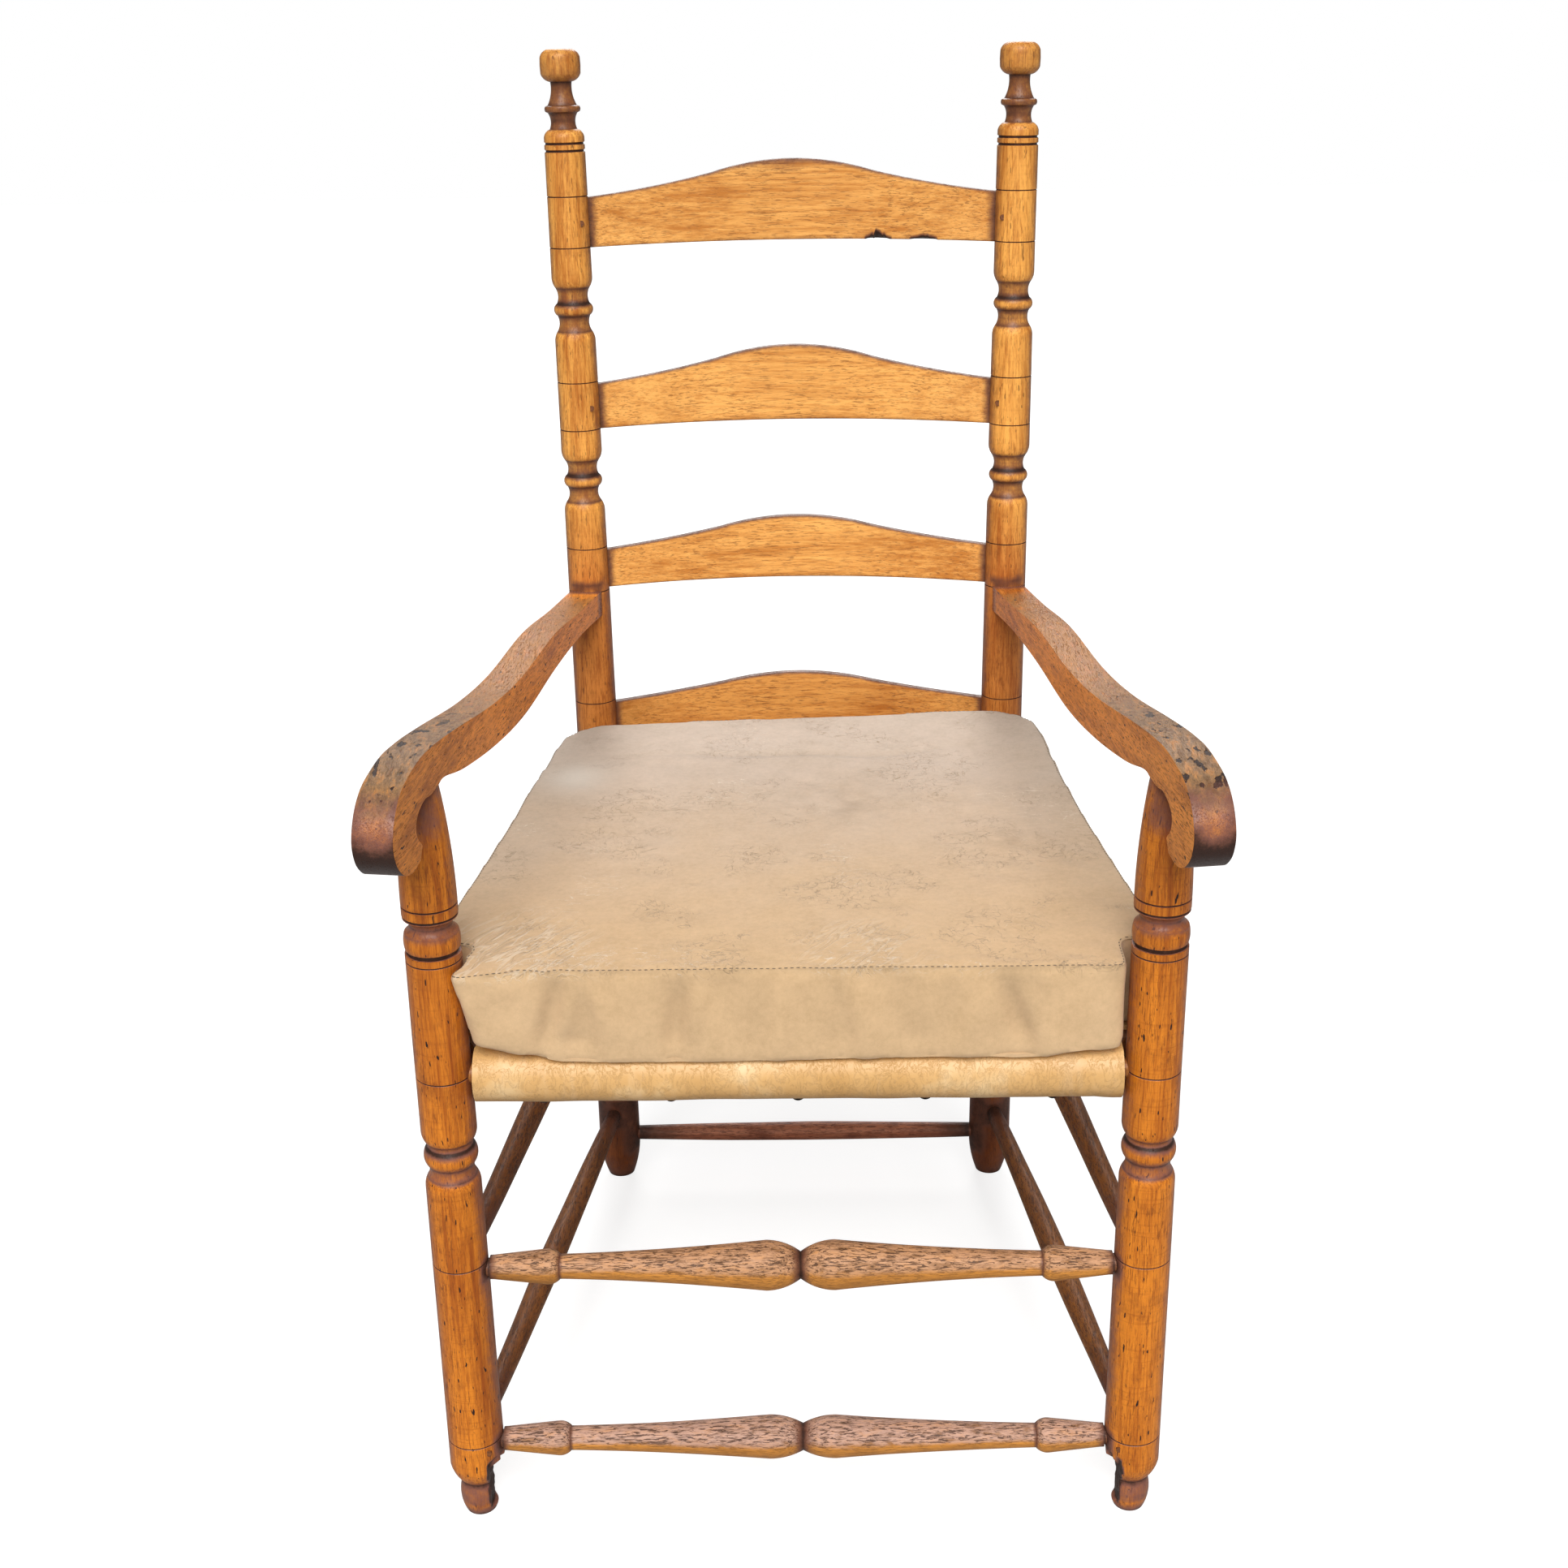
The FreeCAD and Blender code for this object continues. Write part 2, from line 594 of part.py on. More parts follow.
def make_arms():
    """Two scrolled arms, tenoned into the back posts and socketed on the front posts."""
    outline = doc.addObject("Part::Feature", "arm_outline")
    outline.Shape = arm_outline()
    reach = f"{back_radius(ARM_LEVEL)} + dim.cut_overrun - dim.arm_tenon_to_axis"
    pegs = []
    for hand, side in SIDES.items():
        label = f"arm_{hand}"
        frame = arm_frame(side)
        plank = doc.addObject("Part::Extrusion", f"{label}_plank")
        plank.Base = outline
        plank.DirMode = "Custom"
        plank.Dir = Vector(0, 1, 0)
        plank.Symmetric = True
        plank.Solid = True
        plank.setExpression("LengthFwd", "dim.arm_thickness")
        plank.Placement = frame
        tenon = block(f"{label}_tenon", frame * shifted("dim.arm_tenon_to_axis", "-dim.arm_tenon_width / 2",
                                                        ARM_TENON_LOW),
                      reach, "dim.arm_tenon_width", "dim.arm_tenon_height")
        mortise = block(f"{label}_mortise",
                        frame * shifted("dim.arm_tenon_to_axis - dim.end_room",
                                        "-dim.arm_tenon_width / 2 - dim.fit", f"{ARM_TENON_LOW} - dim.fit"),
                        f"{reach} + dim.end_room", "dim.arm_tenon_width + 2 * dim.fit",
                        "dim.arm_tenon_height + 2 * dim.fit")
        add_room(f"back_post_{hand}", mortise)
        low, high = (back_axis(side, f"{ARM_LOW} {sign} dim.arm_rise") for sign in "-+")
        post = rod(f"{label}_cope", along(low, high), f"{back_radius(ARM_LEVEL)} + 2 * dim.fit",
                   span(low, high))
        add_room(label, cut(f"{label}_cheeks", post, [tenon]))
        head = shifted(*front_axis(side, FRONT_TOP))
        add_room(label, rod(f"{label}_socket", head, "dim.arm_post_tenon_radius + dim.fit",
                            "dim.arm_post_tenon_length + dim.end_room"))
        inward = FreeCAD.Rotation(UP, Vector(0, -side, 0))
        seat = span(back_axis(side, ARM_LEVEL), front_axis(side, ARM_LEVEL))
        front_peg = frame * FreeCAD.Placement(
            point((seat, f"{side} * (dim.arm_thickness / 2 + dim.peg_proud)",
                   f"{FRONT_TOP} + dim.arm_peg_rise")), inward)
        surface = f"sqrt({back_radius(ARM_LEVEL)}^2 - dim.arm_peg_forward^2)"
        back_peg = frame * FreeCAD.Placement(
            point(("dim.arm_peg_forward", f"{side} * ({surface} + dim.peg_proud)", ARM_LEVEL)), inward)
        for end, placement, holed in (("front", front_peg, (label, f"front_post_{hand}")),
                                      ("back", back_peg, (label, f"back_post_{hand}"))):
            pegs.append(rod(f"{label}_{end}_peg", placement, "dim.peg_radius", "dim.arm_peg_depth"))
            hole = rod(f"{label}_{end}_peg_hole", placement, "dim.peg_radius + dim.fit",
                       "dim.arm_peg_depth + dim.end_room")
            for piece in holed:
                add_room(piece, hole)
        finish(label, plank)
    group("arm_pegs", pegs)


def sockets(label, start, end, posts, tenon):
    """Mortises in two posts for a rail or stretcher between their axes."""
    to_axis = f"({tenon} + dim.tenon_web)"
    socket(posts[0], f"{label}_first_socket", start, end, tenon, to_axis)
    socket(posts[1], f"{label}_last_socket", end, start, tenon, to_axis)
    return to_axis


def make_rail(label, start, end, posts):
    """Round seat rail with a tenon at each end, shouldered just clear of the posts."""
    tenon = "dim.rail_tenon_radius"
    to_axis = sockets(label, start, end, posts, tenon)
    shoulder = "(dim.front_radius_low + dim.rail_shoulder_room)"
    length = span(start, end)
    outline = [(tenon, to_axis), (tenon, shoulder),
               ("dim.rail_radius", shoulder), ("dim.rail_radius", f"{length} - {shoulder}"),
               (tenon, f"{length} - {shoulder}"), (tenon, f"{length} - {to_axis}")]
    return turn(f"{label}_turned", outline, along(start, end))


def make_front_stretcher(label, height, bulb):
    """Turned stretcher: each end widens to a ring that steps down, then two long bulbs meet at a pinch."""
    start, end = front_axis(-1, height), front_axis(1, height)
    tenon = "dim.stretcher_tenon_radius"
    to_axis = sockets(label, start, end, ("front_post_left", "front_post_right"), tenon)
    length = span(start, end)
    mouth = "(dim.front_radius_low + dim.end_room)"
    ring, waist = "dim.front_ring_to_axis", "dim.front_ring_to_axis + dim.front_ring_step"
    swell = f"{length} / 2 - dim.bulb_to_middle"
    step = f"dim.front_waist_radius + (dim.front_ring_radius - dim.front_waist_radius) * {RING_SHARE}"
    slim = f"dim.front_waist_radius + ({bulb} - dim.front_waist_radius) * {SLIM_SHARE}"
    round_end = f"dim.bulb_pinch_radius + ({bulb} - dim.bulb_pinch_radius) * {BULB_SHARE}"
    outline = [(tenon, to_axis), (tenon, mouth), ("dim.front_end_radius", mouth),
               ("dim.front_ring_radius", ring, step),
               ("dim.front_waist_radius", waist, slim), (bulb, swell, round_end),
               ("dim.bulb_pinch_radius", f"{length} / 2", round_end),
               (bulb, f"{length} - ({swell})", slim),
               ("dim.front_waist_radius", f"{length} - ({waist})", step),
               ("dim.front_ring_radius", f"{length} - {ring}"),
               ("dim.front_end_radius", f"{length} - {mouth}"),
               (tenon, f"{length} - {mouth}"), (tenon, f"{length} - {to_axis}")]
    finish(label, turn(f"{label}_turned", outline, along(start, end)))


def make_plain_stretcher(label, start, end, posts, radius):
    """Plain stretcher that swells gently between its tenons."""
    tenon = "dim.stretcher_tenon_radius"
    to_axis = sockets(label, start, end, posts, tenon)
    length = span(start, end)
    mouth = "(dim.front_radius_low + dim.end_room)"
    swell = f"{tenon} + ({radius} - {tenon}) * {SWELL_SHARE}"
    outline = [(tenon, to_axis), (tenon, mouth, swell), (radius, f"{length} / 2", swell),
               (tenon, f"{length} - {mouth}"), (tenon, f"{length} - {to_axis}")]
    finish(label, turn(f"{label}_turned", outline, along(start, end)))


def make_stretchers():
    """All seven stretchers, and the pegs that hold the lower front one."""
    make_front_stretcher("front_stretcher_upper", "dim.upper_front_height", "dim.upper_bulb_radius")
    for hand, side in SIDES.items():
        posts = (f"front_post_{hand}", f"back_post_{hand}")
        for level in ("upper", "lower"):
            make_plain_stretcher(f"side_stretcher_{hand}_{level}",
                                 front_axis(side, f"dim.{level}_side_front"),
                                 back_axis(side, f"dim.{level}_side_back"), posts, "dim.side_radius")
    make_plain_stretcher("back_stretcher", back_axis(-1, "dim.back_stretcher_height"),
                         back_axis(1, "dim.back_stretcher_height"),
                         ("back_post_left", "back_post_right"), "dim.back_stretcher_radius")
    pegs = []
    level = "dim.lower_front_height"
    for hand, side in SIDES.items():
        axis = front_axis(side, level)
        surface = f"sqrt({front_radius(level)}^2 - dim.stretcher_peg_to_axis^2)"
        place = (f"{axis[0]} - {side} * dim.stretcher_peg_to_axis",
                 f"{axis[1]} - {surface} - dim.peg_proud", level)
        placement = FreeCAD.Placement(point(place), FreeCAD.Rotation(UP, Vector(0, 1, 0)))
        pegs.append(rod(f"stretcher_peg_{hand}", placement, "dim.peg_radius", "dim.stretcher_peg_depth"))
        hole = rod(f"stretcher_peg_hole_{hand}", placement, "dim.peg_radius + dim.fit",
                   "dim.stretcher_peg_depth + dim.end_room")
        add_room(f"front_post_{hand}", hole)
        add_room("front_stretcher_lower", hole)
    make_front_stretcher("front_stretcher_lower", level, "dim.lower_bulb_radius")
    group("stretcher_pegs", pegs)


def make_seat():
    """Four rails and the leather that is drawn over them, turned under and tacked."""
    level = "dim.rail_height"
    corners = [front_axis(-1, level), front_axis(1, level), back_axis(1, level), back_axis(-1, level)]
    posts = ["front_post_left", "front_post_right", "back_post_right", "back_post_left"]
    labels = ["seat_rail_front", "seat_rail_right", "seat_rail_back", "seat_rail_left"]
    inner = "dim.rail_radius + dim.leather_room"
    outer = f"{inner} + dim.leather_thickness"
    inset = "(dim.front_radius_low + dim.leather_post_room)"
    wraps, nodes, tacks, rails = [], [], [], {}
    dome = f"dim.tack_head_radius * {TACK_DOME_SHARE}"
    tack = turn("leather_tack", [(f"dim.tack_head_radius * {TACK_TOP_SHARE}", "-dim.tack_head_height", dome),
                                 ("dim.tack_head_radius", "0"), ("dim.tack_shank_radius", "0"),
                                 ("dim.tack_shank_radius", "dim.tack_length")], FreeCAD.Placement())
    for index, label in enumerate(labels):
        following = (index + 1) % len(labels)
        start, end = corners[index], corners[following]
        rails[label] = make_rail(label, start, end, (posts[index], posts[following]))
        run = (point(end) - point(start)).normalize()
        before = (point(corners[index - 1]) - point(start)).normalize()
        room = number(inset)
        for offset in (before * room, before * room + run * room, run * room):
            nodes.append(point(start) + offset + UP * number(inner))
        across = run.cross(UP)
        turned = FreeCAD.Rotation(UP, across, run, "ZXY")
        length = f"{span(start, end)} - 2 * {inset}"
        placement = FreeCAD.Placement(point(start) + run * room, turned)
        skin = rod(f"{label}_skin", placement, outer, length)
        skin.setExpression("Angle", "dim.leather_wrap_angle")
        wraps.append(cut(f"{label}_wrap", skin, [rod(f"{label}_core", placement, inner, length)]))
        for share in TACK_SHARES:
            place = point(start) + run * (number(span(start, end)) * share) - UP * number(outer)
            tacks.append(FreeCAD.Placement(place, FreeCAD.Rotation()))
    panel_outline = doc.addObject("Part::Polygon", "leather_panel_outline")
    panel_outline.Nodes = nodes
    panel_outline.Close = True
    panel = doc.addObject("Part::Extrusion", "leather_panel")
    panel.Base = panel_outline
    panel.DirMode = "Custom"
    panel.Dir = UP
    panel.Solid = True
    panel.setExpression("LengthFwd", "dim.leather_thickness")
    leather = doc.addObject("Part::MultiFuse", "leather_sewn")
    leather.Shapes = [panel] + wraps
    doc.recompute()
    for index, placement in enumerate(tacks):
        hole = rod(f"tack_hole_{index}", placement, "dim.tack_shank_radius + dim.fit",
                   "dim.tack_length + dim.end_room")
        add_room("seat_leather", hole)
        add_room(labels[index // len(TACK_SHARES)], hole)
    for label in labels:
        finish(label, rails[label])
    finish("seat_leather", leather)
    driven = doc.addObject("Part::Feature", "leather_tacks")
    driven.Shape = Part.makeCompound([tack.Shape.transformed(place.toMatrix()) for place in tacks])
    pieces["leather_tacks"] = driven


def cushion_section(place, half, edge_height, crown):
    """Closed upright section of the cushion's crown, across the chair."""
    base = "dim.rail_height + dim.rail_radius + dim.leather_room + dim.leather_thickness + dim.cushion_room"
    low, high = base, f"{base} + {edge_height}"
    corners = [point((f"-({half})", place, low)), point((half, place, low)),
               point((half, place, high)), point((f"-({half})", place, high))]
    top = point(("0", place, f"{high} + {crown}"))
    edges = [Part.LineSegment(corners[index - 1], corners[index]) for index in range(3)]
    edges.append(Part.Arc(corners[2], top, corners[3]))
    return Part.Wire([edge.toShape() for edge in edges])


def make_cushion():
    """Loose cushion: a tongue between the front posts, ears behind them, drawn-in sides and a crowned top."""
    line = "-dim.origin_to_front_posts"
    post = "(dim.front_radius_low + dim.cushion_post_room)"
    front, notch = f"({line} - dim.cushion_overhang)", f"({line} + {post})"
    tongue, ear = f"(dim.front_half_spread - {post})", "(dim.front_half_spread + dim.cushion_ear)"
    rear = f"({back_axis(1, 'dim.rail_height')[1]} - dim.back_radius_low - dim.cushion_post_room)"
    back, soft = "dim.cushion_back_half", "dim.cushion_corner"
    ears, heel = f"({notch} + dim.cushion_ear_run)", f"({rear} - dim.cushion_back_corner)"
    waist = f"(({ear}) + {back}) / 2 - dim.cushion_side_draw"
    bend, turn_in = f"{soft} * {CORNER_SHARE}", f"dim.cushion_back_corner * {CORNER_SHARE}"
    right = [(f"{tongue} - {soft}", front, f"{tongue} - {bend}", f"{front} + {bend}"),
             (tongue, f"{front} + {soft}"),
             (tongue, notch, f"{ear} - {bend}", f"{notch} + {bend}"),
             (ear, ears, waist, f"({ears} + {heel}) / 2"),
             (back, heel, f"{back} - {turn_in}", f"{rear} - {turn_in}"),
             (f"{back} - dim.cushion_back_corner", rear)]
    left = [(f"-({right[-1][0]})", rear, f"-({right[-2][2]})", right[-2][3])]
    for before, corner in zip(right[-3::-1], right[-2:0:-1]):
        left.append((f"-({corner[0]})", corner[1]) + tuple(f"-({part})" for part in before[2:3]) + before[3:])
    left.append((f"-({right[0][0]})", front))
    top = "dim.cushion_front_height + dim.cushion_crown + dim.cut_overrun"
    plan = pad("cushion_plan", "XY_Plane", right + left, f"dim.rail_height * 2 + {top}")
    wide = f"{ear} + dim.cut_overrun"
    crown = doc.addObject("Part::Feature", "cushion_crown")
    end_crown = "dim.cushion_end_crown"
    crown.Shape = Part.makeLoft([
        cushion_section(f"{front} - dim.cut_overrun", wide, "dim.cushion_front_height", end_crown),
        cushion_section(f"({front} + {rear}) / 2", wide, "dim.cushion_side_height", "dim.cushion_crown"),
        cushion_section(f"{rear} + dim.cut_overrun", wide, "dim.cushion_back_height", end_crown),
    ], True, False)
    boxed = doc.addObject("Part::Common", "cushion_boxed")
    boxed.Base = plan
    boxed.Tool = crown
    doc.recompute()
    rim = number("dim.rail_height + dim.rail_radius + dim.cushion_back_height / 2")
    eased = doc.addObject("Part::Fillet", "cushion_eased")
    eased.Base = boxed
    ease = number("dim.cushion_edge_round")
    eased.Edges = [(index, ease, ease) for index, edge in enumerate(boxed.Shape.Edges, start=1)
                   if edge.BoundBox.ZMin > rim]
    finish("seat_cushion", eased)


def write_pieces():
    """Checks every object and every piece, then writes each piece to its own file."""
    doc.recompute()
    failed = [item.Label for item in doc.Objects if {"Invalid", "Error"} & set(item.State)]
    if failed:
        raise RuntimeError("not computed: " + ", ".join(failed))
    for label, piece in pieces.items():
        if piece.Shape.isNull() or not piece.Shape.isValid():
            raise RuntimeError(f"{label} has no valid shape")
        if not piece.Shape.Solids:
            raise RuntimeError(f"{label} holds no solid")
    os.makedirs("parts", exist_ok=True)
    for label, piece in pieces.items():
        piece.Shape.exportStep(f"parts/{label}.step")
    box = Part.makeCompound([piece.Shape for piece in pieces.values()]).optimalBoundingBox(False)
    print(f"{len(pieces)} pieces, X {box.XMin:.1f} to {box.XMax:.1f}, Y {box.YMin:.1f} to {box.YMax:.1f},"
          f" Z {box.ZMin:.1f} to {box.ZMax:.1f}")


make_slat_pegs(PEGGED_SLATS)
for slat in SLATS:
    make_slat(slat)
make_arms()
make_stretchers()
make_seat()
make_back_posts()
make_front_posts()
make_cushion()
write_pieces()
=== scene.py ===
"""Looks of a ladder-back armchair: turned and sawn wood, a leather seat and a stuffed cushion.

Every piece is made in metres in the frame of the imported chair: +Z up, the front towards -Y.
"""

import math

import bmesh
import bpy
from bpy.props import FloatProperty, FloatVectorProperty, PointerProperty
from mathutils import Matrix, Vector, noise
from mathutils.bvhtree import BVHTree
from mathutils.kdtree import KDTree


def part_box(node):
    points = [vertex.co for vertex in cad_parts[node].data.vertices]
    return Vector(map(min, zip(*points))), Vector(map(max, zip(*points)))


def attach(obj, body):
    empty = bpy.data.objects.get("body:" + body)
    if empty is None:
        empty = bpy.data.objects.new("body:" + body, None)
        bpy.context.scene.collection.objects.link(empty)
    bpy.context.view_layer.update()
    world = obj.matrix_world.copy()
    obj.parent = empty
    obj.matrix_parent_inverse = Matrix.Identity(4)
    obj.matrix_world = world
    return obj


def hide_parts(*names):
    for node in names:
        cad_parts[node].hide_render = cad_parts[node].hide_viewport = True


bl_info = {
    "name": "Ladder-back Armchair",
    "version": (1, 0, 0),
    "blender": (4, 5, 0),
    "location": "View3D > Sidebar > Armchair",
    "description": "Dresses the packed armchair with aged wood, leather and a stuffed cushion",
    "category": "Add Mesh",
}

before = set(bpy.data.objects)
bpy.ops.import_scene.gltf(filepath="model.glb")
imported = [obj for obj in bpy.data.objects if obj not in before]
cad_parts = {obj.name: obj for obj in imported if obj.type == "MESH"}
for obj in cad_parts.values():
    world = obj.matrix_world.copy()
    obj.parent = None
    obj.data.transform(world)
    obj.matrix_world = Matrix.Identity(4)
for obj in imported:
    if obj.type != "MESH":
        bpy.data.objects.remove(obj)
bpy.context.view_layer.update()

MM = 0.001
SIDES = {"left": -1, "right": 1}
UP = Vector((0, 0, 1))

# Axes of the right-hand posts: the front one as packed, the back one behind it, leaning out and back
FRONT_LOW, FRONT_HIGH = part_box("front_post_right")
FRONT_AXIS = (FRONT_LOW + FRONT_HIGH) / 2
BACK_FOOT = Vector((0.1985, FRONT_AXIS.y + 0.520, 0))
BACK_HEAD = BACK_FOOT + Vector((0.010, 0.059, 1.150))
POST_LENGTH = BACK_HEAD.z

# How finely turned and bent pieces are divided
RING_STEPS = 56
RUN_STEP = 7 * MM
ARC_STEP = 1.6 * MM
SHARP_ANGLE = math.radians(38)
WOBBLE_ACROSS, WOBBLE_ALONG = 40, 9

# Marks up the posts, a bead's radii and spans, and each cut's share of the scribe depth and its width;
# lengths are in millimetres
BACK_MARKS = (
    ("scribe", 535), ("scribe", 648), ("scribe", 691), ("bead", 757), ("scribe", 806), ("scribe", 851),
    ("bead", 919), ("scribe", 975), ("scribe", 1021), ("groove", 1060.5), ("groove", 1067))
BACK_BEAD = (13.9, 15.4, 18.4, 3), (29, 5.5, 5.5, 29, 9)
BACK_CUTS = {"scribe": (1.2, 1.32), "groove": (2.6, 2.86)}
FRONT_MARKS = (("scribe", 76), ("scribe", 251), ("bead", 353), ("scribe", 424), ("scribe", 525))
FRONT_BEAD = (17.8, 18.8, 21.6, 2.6), (28, 8.5, 7.5, 22, 8.5)
FRONT_CUTS = {"scribe": (1.2, 1.6)}
VASE_HEIGHT = 536 * MM
# Dirt on the posts: the heights between which it thickens up a finial, the top of the painted shade below the
# seat, and the dirt's reach round each mouth with the width of its fade
FINIAL_FOOT, FINIAL_KNOB, SEAT_SHADE = (1.075, 1.085), (1.117, 1.123), 0.44
BACK_MOUTH, FRONT_MOUTH, ARM_MOUTH = (26 * MM, 14 * MM), (20 * MM, 12 * MM), (8 * MM, 6 * MM)
# Split front foot: how far from the axis its face is, and its top
SPLIT_FACE, SPLIT_TOP = 9.5 * MM, 58 * MM

# Slats: lower edge, height of the ends and rise of the crest, in millimetres up the back
SLATS = {
    "top_slat": (975, 45.5, 30.5),
    "second_slat": (806, 43, 31),
    "third_slat": (650, 38, 26.3),
    "bottom_slat": (498, 34, 22),
}
CREST_SHARE, CREST_RISE_SHARE, HOLLOW_SHARE, UNDER_RISE = 0.4, 0.625, 0.062, 2.8 * MM
SLAT_COLUMNS, SLAT_ROWS = 210, 14
# Chips along the top slat's lower edge: place, half width and height, in millimetres
CHIPS = ((80, 12, 9), (123, 13, 3.2))

# Arm outline as pairs of shares of its reach and rise: the outer edge and the inner edge facing it
ARM_PAIRS = (
    ((0, 0.236), (0, -0.11)), ((0.15, 0.345), (0.15, 0.028)), ((0.3, 0.489), (0.301, 0.056)),
    ((0.466, 0.486), (0.466, 0.007)), ((0.602, 0.597), (0.602, 0.11)), ((0.745, 0.822), (0.737, 0.32)),
    ((0.81, 0.92), (0.812, 0.5)), ((0.85, 0.967), (0.838, 0.5)), ((0.887, 0.993), (0.8645, 0.5)),
    ((0.925, 0.968), (0.885, 0.53)), ((0.96, 0.9), (0.904, 0.505)), ((0.986, 0.74), (0.918, 0.44)),
    ((1, 0.5), (0.923, 0.36)), ((0.996, 0.28), (0.922, 0.27)), ((0.982, 0.12), (0.917, 0.2)),
    ((0.965, 0.02), (0.912, 0.16)), ((0.943, -0.03), (0.909, 0.13)), ((0.918, -0.012), (0.9075, 0.105)),
)
ARM_STATIONS, ARM_ROWS, ARM_CUTS = 120, 10, 3
ARM_AXIS, ARM_ENTRY = 637 * MM, 655 * MM

# Stretchers in millimetres: heights on their posts, and the radii of a front one's bulb and ring
FRONT_STRETCHERS = {"upper": (243, 20.2, 14.4), "lower": (70, 17.8, 14.2)}
SIDE_STRETCHERS = {"upper": (243, 270), "lower": (74, 79)}
BACK_STRETCHER = 46
TENON_RADIUS, TENON_END = 7.5 * MM, 9.5 * MM

RAILS = ("seat_rail_front", "seat_rail_right", "seat_rail_back", "seat_rail_left")
RAIL_TENON, RAIL_TENON_END, RAIL_MOUTH = 8 * MM, 10 * MM, 25 * MM

# Leather: room left round the posts, its turn round a rail, and how finely it is divided
LEATHER_INSET = 25.4 * MM
LEATHER_TURN = math.radians(205)
LEATHER_COLUMNS, LEATHER_STEPS = 72, 26


def length_setting(name, description, default):
    """Length that a user can change, with its default in millimetres."""
    return FloatProperty(name=name, description=description, default=default * MM, unit="LENGTH")


def colour_setting(name, description, default):
    """Colour that a user can change."""
    return FloatVectorProperty(name=name, description=description, default=default, subtype="COLOR")


class ArmchairSizes(bpy.types.PropertyGroup):
    """Sizes of the chair's visible pieces."""

    back_radius_low: length_setting("Back post, low", "Radius of a back post above its foot", 21.7)
    back_radius_high: length_setting("Back post, high", "Radius of a back post under its finial", 18.4)
    front_radius_low: length_setting("Front post, low", "Radius of a front post above its foot", 23.4)
    front_radius_high: length_setting("Front post, high", "Radius of a front post at its vase", 21.6)
    scribe_depth: length_setting("Scribe depth", "Depth of the lines cut round the posts", 0.45)
    slat_thickness: length_setting("Slat thickness", "Thickness of a slat", 9)
    slat_bow: length_setting("Slat bow", "How far a slat's middle bends back", 27)
    arm_reach: length_setting("Arm reach", "Length of an arm from the back post's axis", 665)
    arm_rise: length_setting("Arm rise", "Height of the arm's outline", 72)
    arm_low: length_setting("Arm height", "Height of the arm's lowest edge", 632)
    arm_thickness: length_setting("Arm thickness", "Thickness of the arm's plank", 30)
    arm_round: length_setting("Arm edge", "Radius of the arm's worn edges", 7)
    rail_height: length_setting("Rail height", "Height of the seat rails' axes", 424)
    rail_radius: length_setting("Rail radius", "Radius of a seat rail", 20.5)
    leather_thickness: length_setting("Leather", "Thickness of the seat's leather", 3)
    cushion_height: length_setting("Cushion", "Height of the cushion's band", 74)


class ArmchairColours(bpy.types.PropertyGroup):
    """Colours of the chair's finishes."""

    maple_light: colour_setting("Maple, light", "Pale streaks of the posts and arms", (0.95, 0.44, 0.09))
    maple_dark: colour_setting("Maple, dark", "Dark streaks of the posts and arms", (0.46, 0.14, 0.018))
    front_light: colour_setting("Front posts, light", "Pale streaks of the front posts", (0.76, 0.24, 0.018))
    front_dark: colour_setting("Front posts, dark", "Dark streaks of the front posts", (0.34, 0.076, 0.005))
    arm_light: colour_setting("Arms, light", "Pale streaks of the arms", (1.0, 0.36, 0.055))
    arm_dark: colour_setting("Arms, dark", "Dark streaks of the arms", (0.46, 0.125, 0.014))
    turned_light: colour_setting(
        "Front stretchers", "Pale figure of the front stretchers", (0.68, 0.28, 0.05))
    oak_light: colour_setting("Oak, light", "Pale figure of the slats", (0.93, 0.46, 0.12))
    oak_dark: colour_setting("Oak, dark", "Dark figure of the slats", (0.55, 0.2, 0.034))
    pore: colour_setting("Pores", "Dark pores and old varnish", (0.075, 0.024, 0.008))
    grime: colour_setting("Grime", "Old dirt in grooves and joints", (0.022, 0.009, 0.007))
    varnish: colour_setting("Old varnish", "Darkened varnish in the turnings", (0.19, 0.066, 0.035))
    # Burnish colour: old burnish on handled wood, purple-grey to carry a painted sheen of the sky
    burnish_and_sheen: colour_setting("Burnish", "Handled ends of the arms and the feet", (0.25, 0.1, 0.078))
    worn: colour_setting("Worn wood", "Bare wood on top of the arms", (0.25, 0.15, 0.072))
    hide: colour_setting("Hide", "Leather of the seat", (0.70, 0.41, 0.155))
    nubuck: colour_setting("Nubuck", "Cover of the cushion", (0.64, 0.46, 0.265))
    iron: colour_setting("Iron", "Tacks under the seat", (0.03, 0.027, 0.025))


class Value:
    """A shader value that Python expressions can be written with."""

    def __init__(self, finish, socket):
        self.finish = finish
        self.socket = socket

    def _maths(self, operation, first, second):
        return self.finish.node("ShaderNodeMath", {"operation": operation}, {0: first, 1: second})

    def __add__(self, other):
        return self._maths("ADD", self, other)

    def __radd__(self, other):
        return self._maths("ADD", other, self)

    def __sub__(self, other):
        return self._maths("SUBTRACT", self, other)

    def __rsub__(self, other):
        return self._maths("SUBTRACT", other, self)

    def __mul__(self, other):
        return self._maths("MULTIPLY", self, other)

    def __rmul__(self, other):
        return self._maths("MULTIPLY", other, self)

    def highest(self, other):
        """The greater of two values."""
        return self._maths("MAXIMUM", self, other)


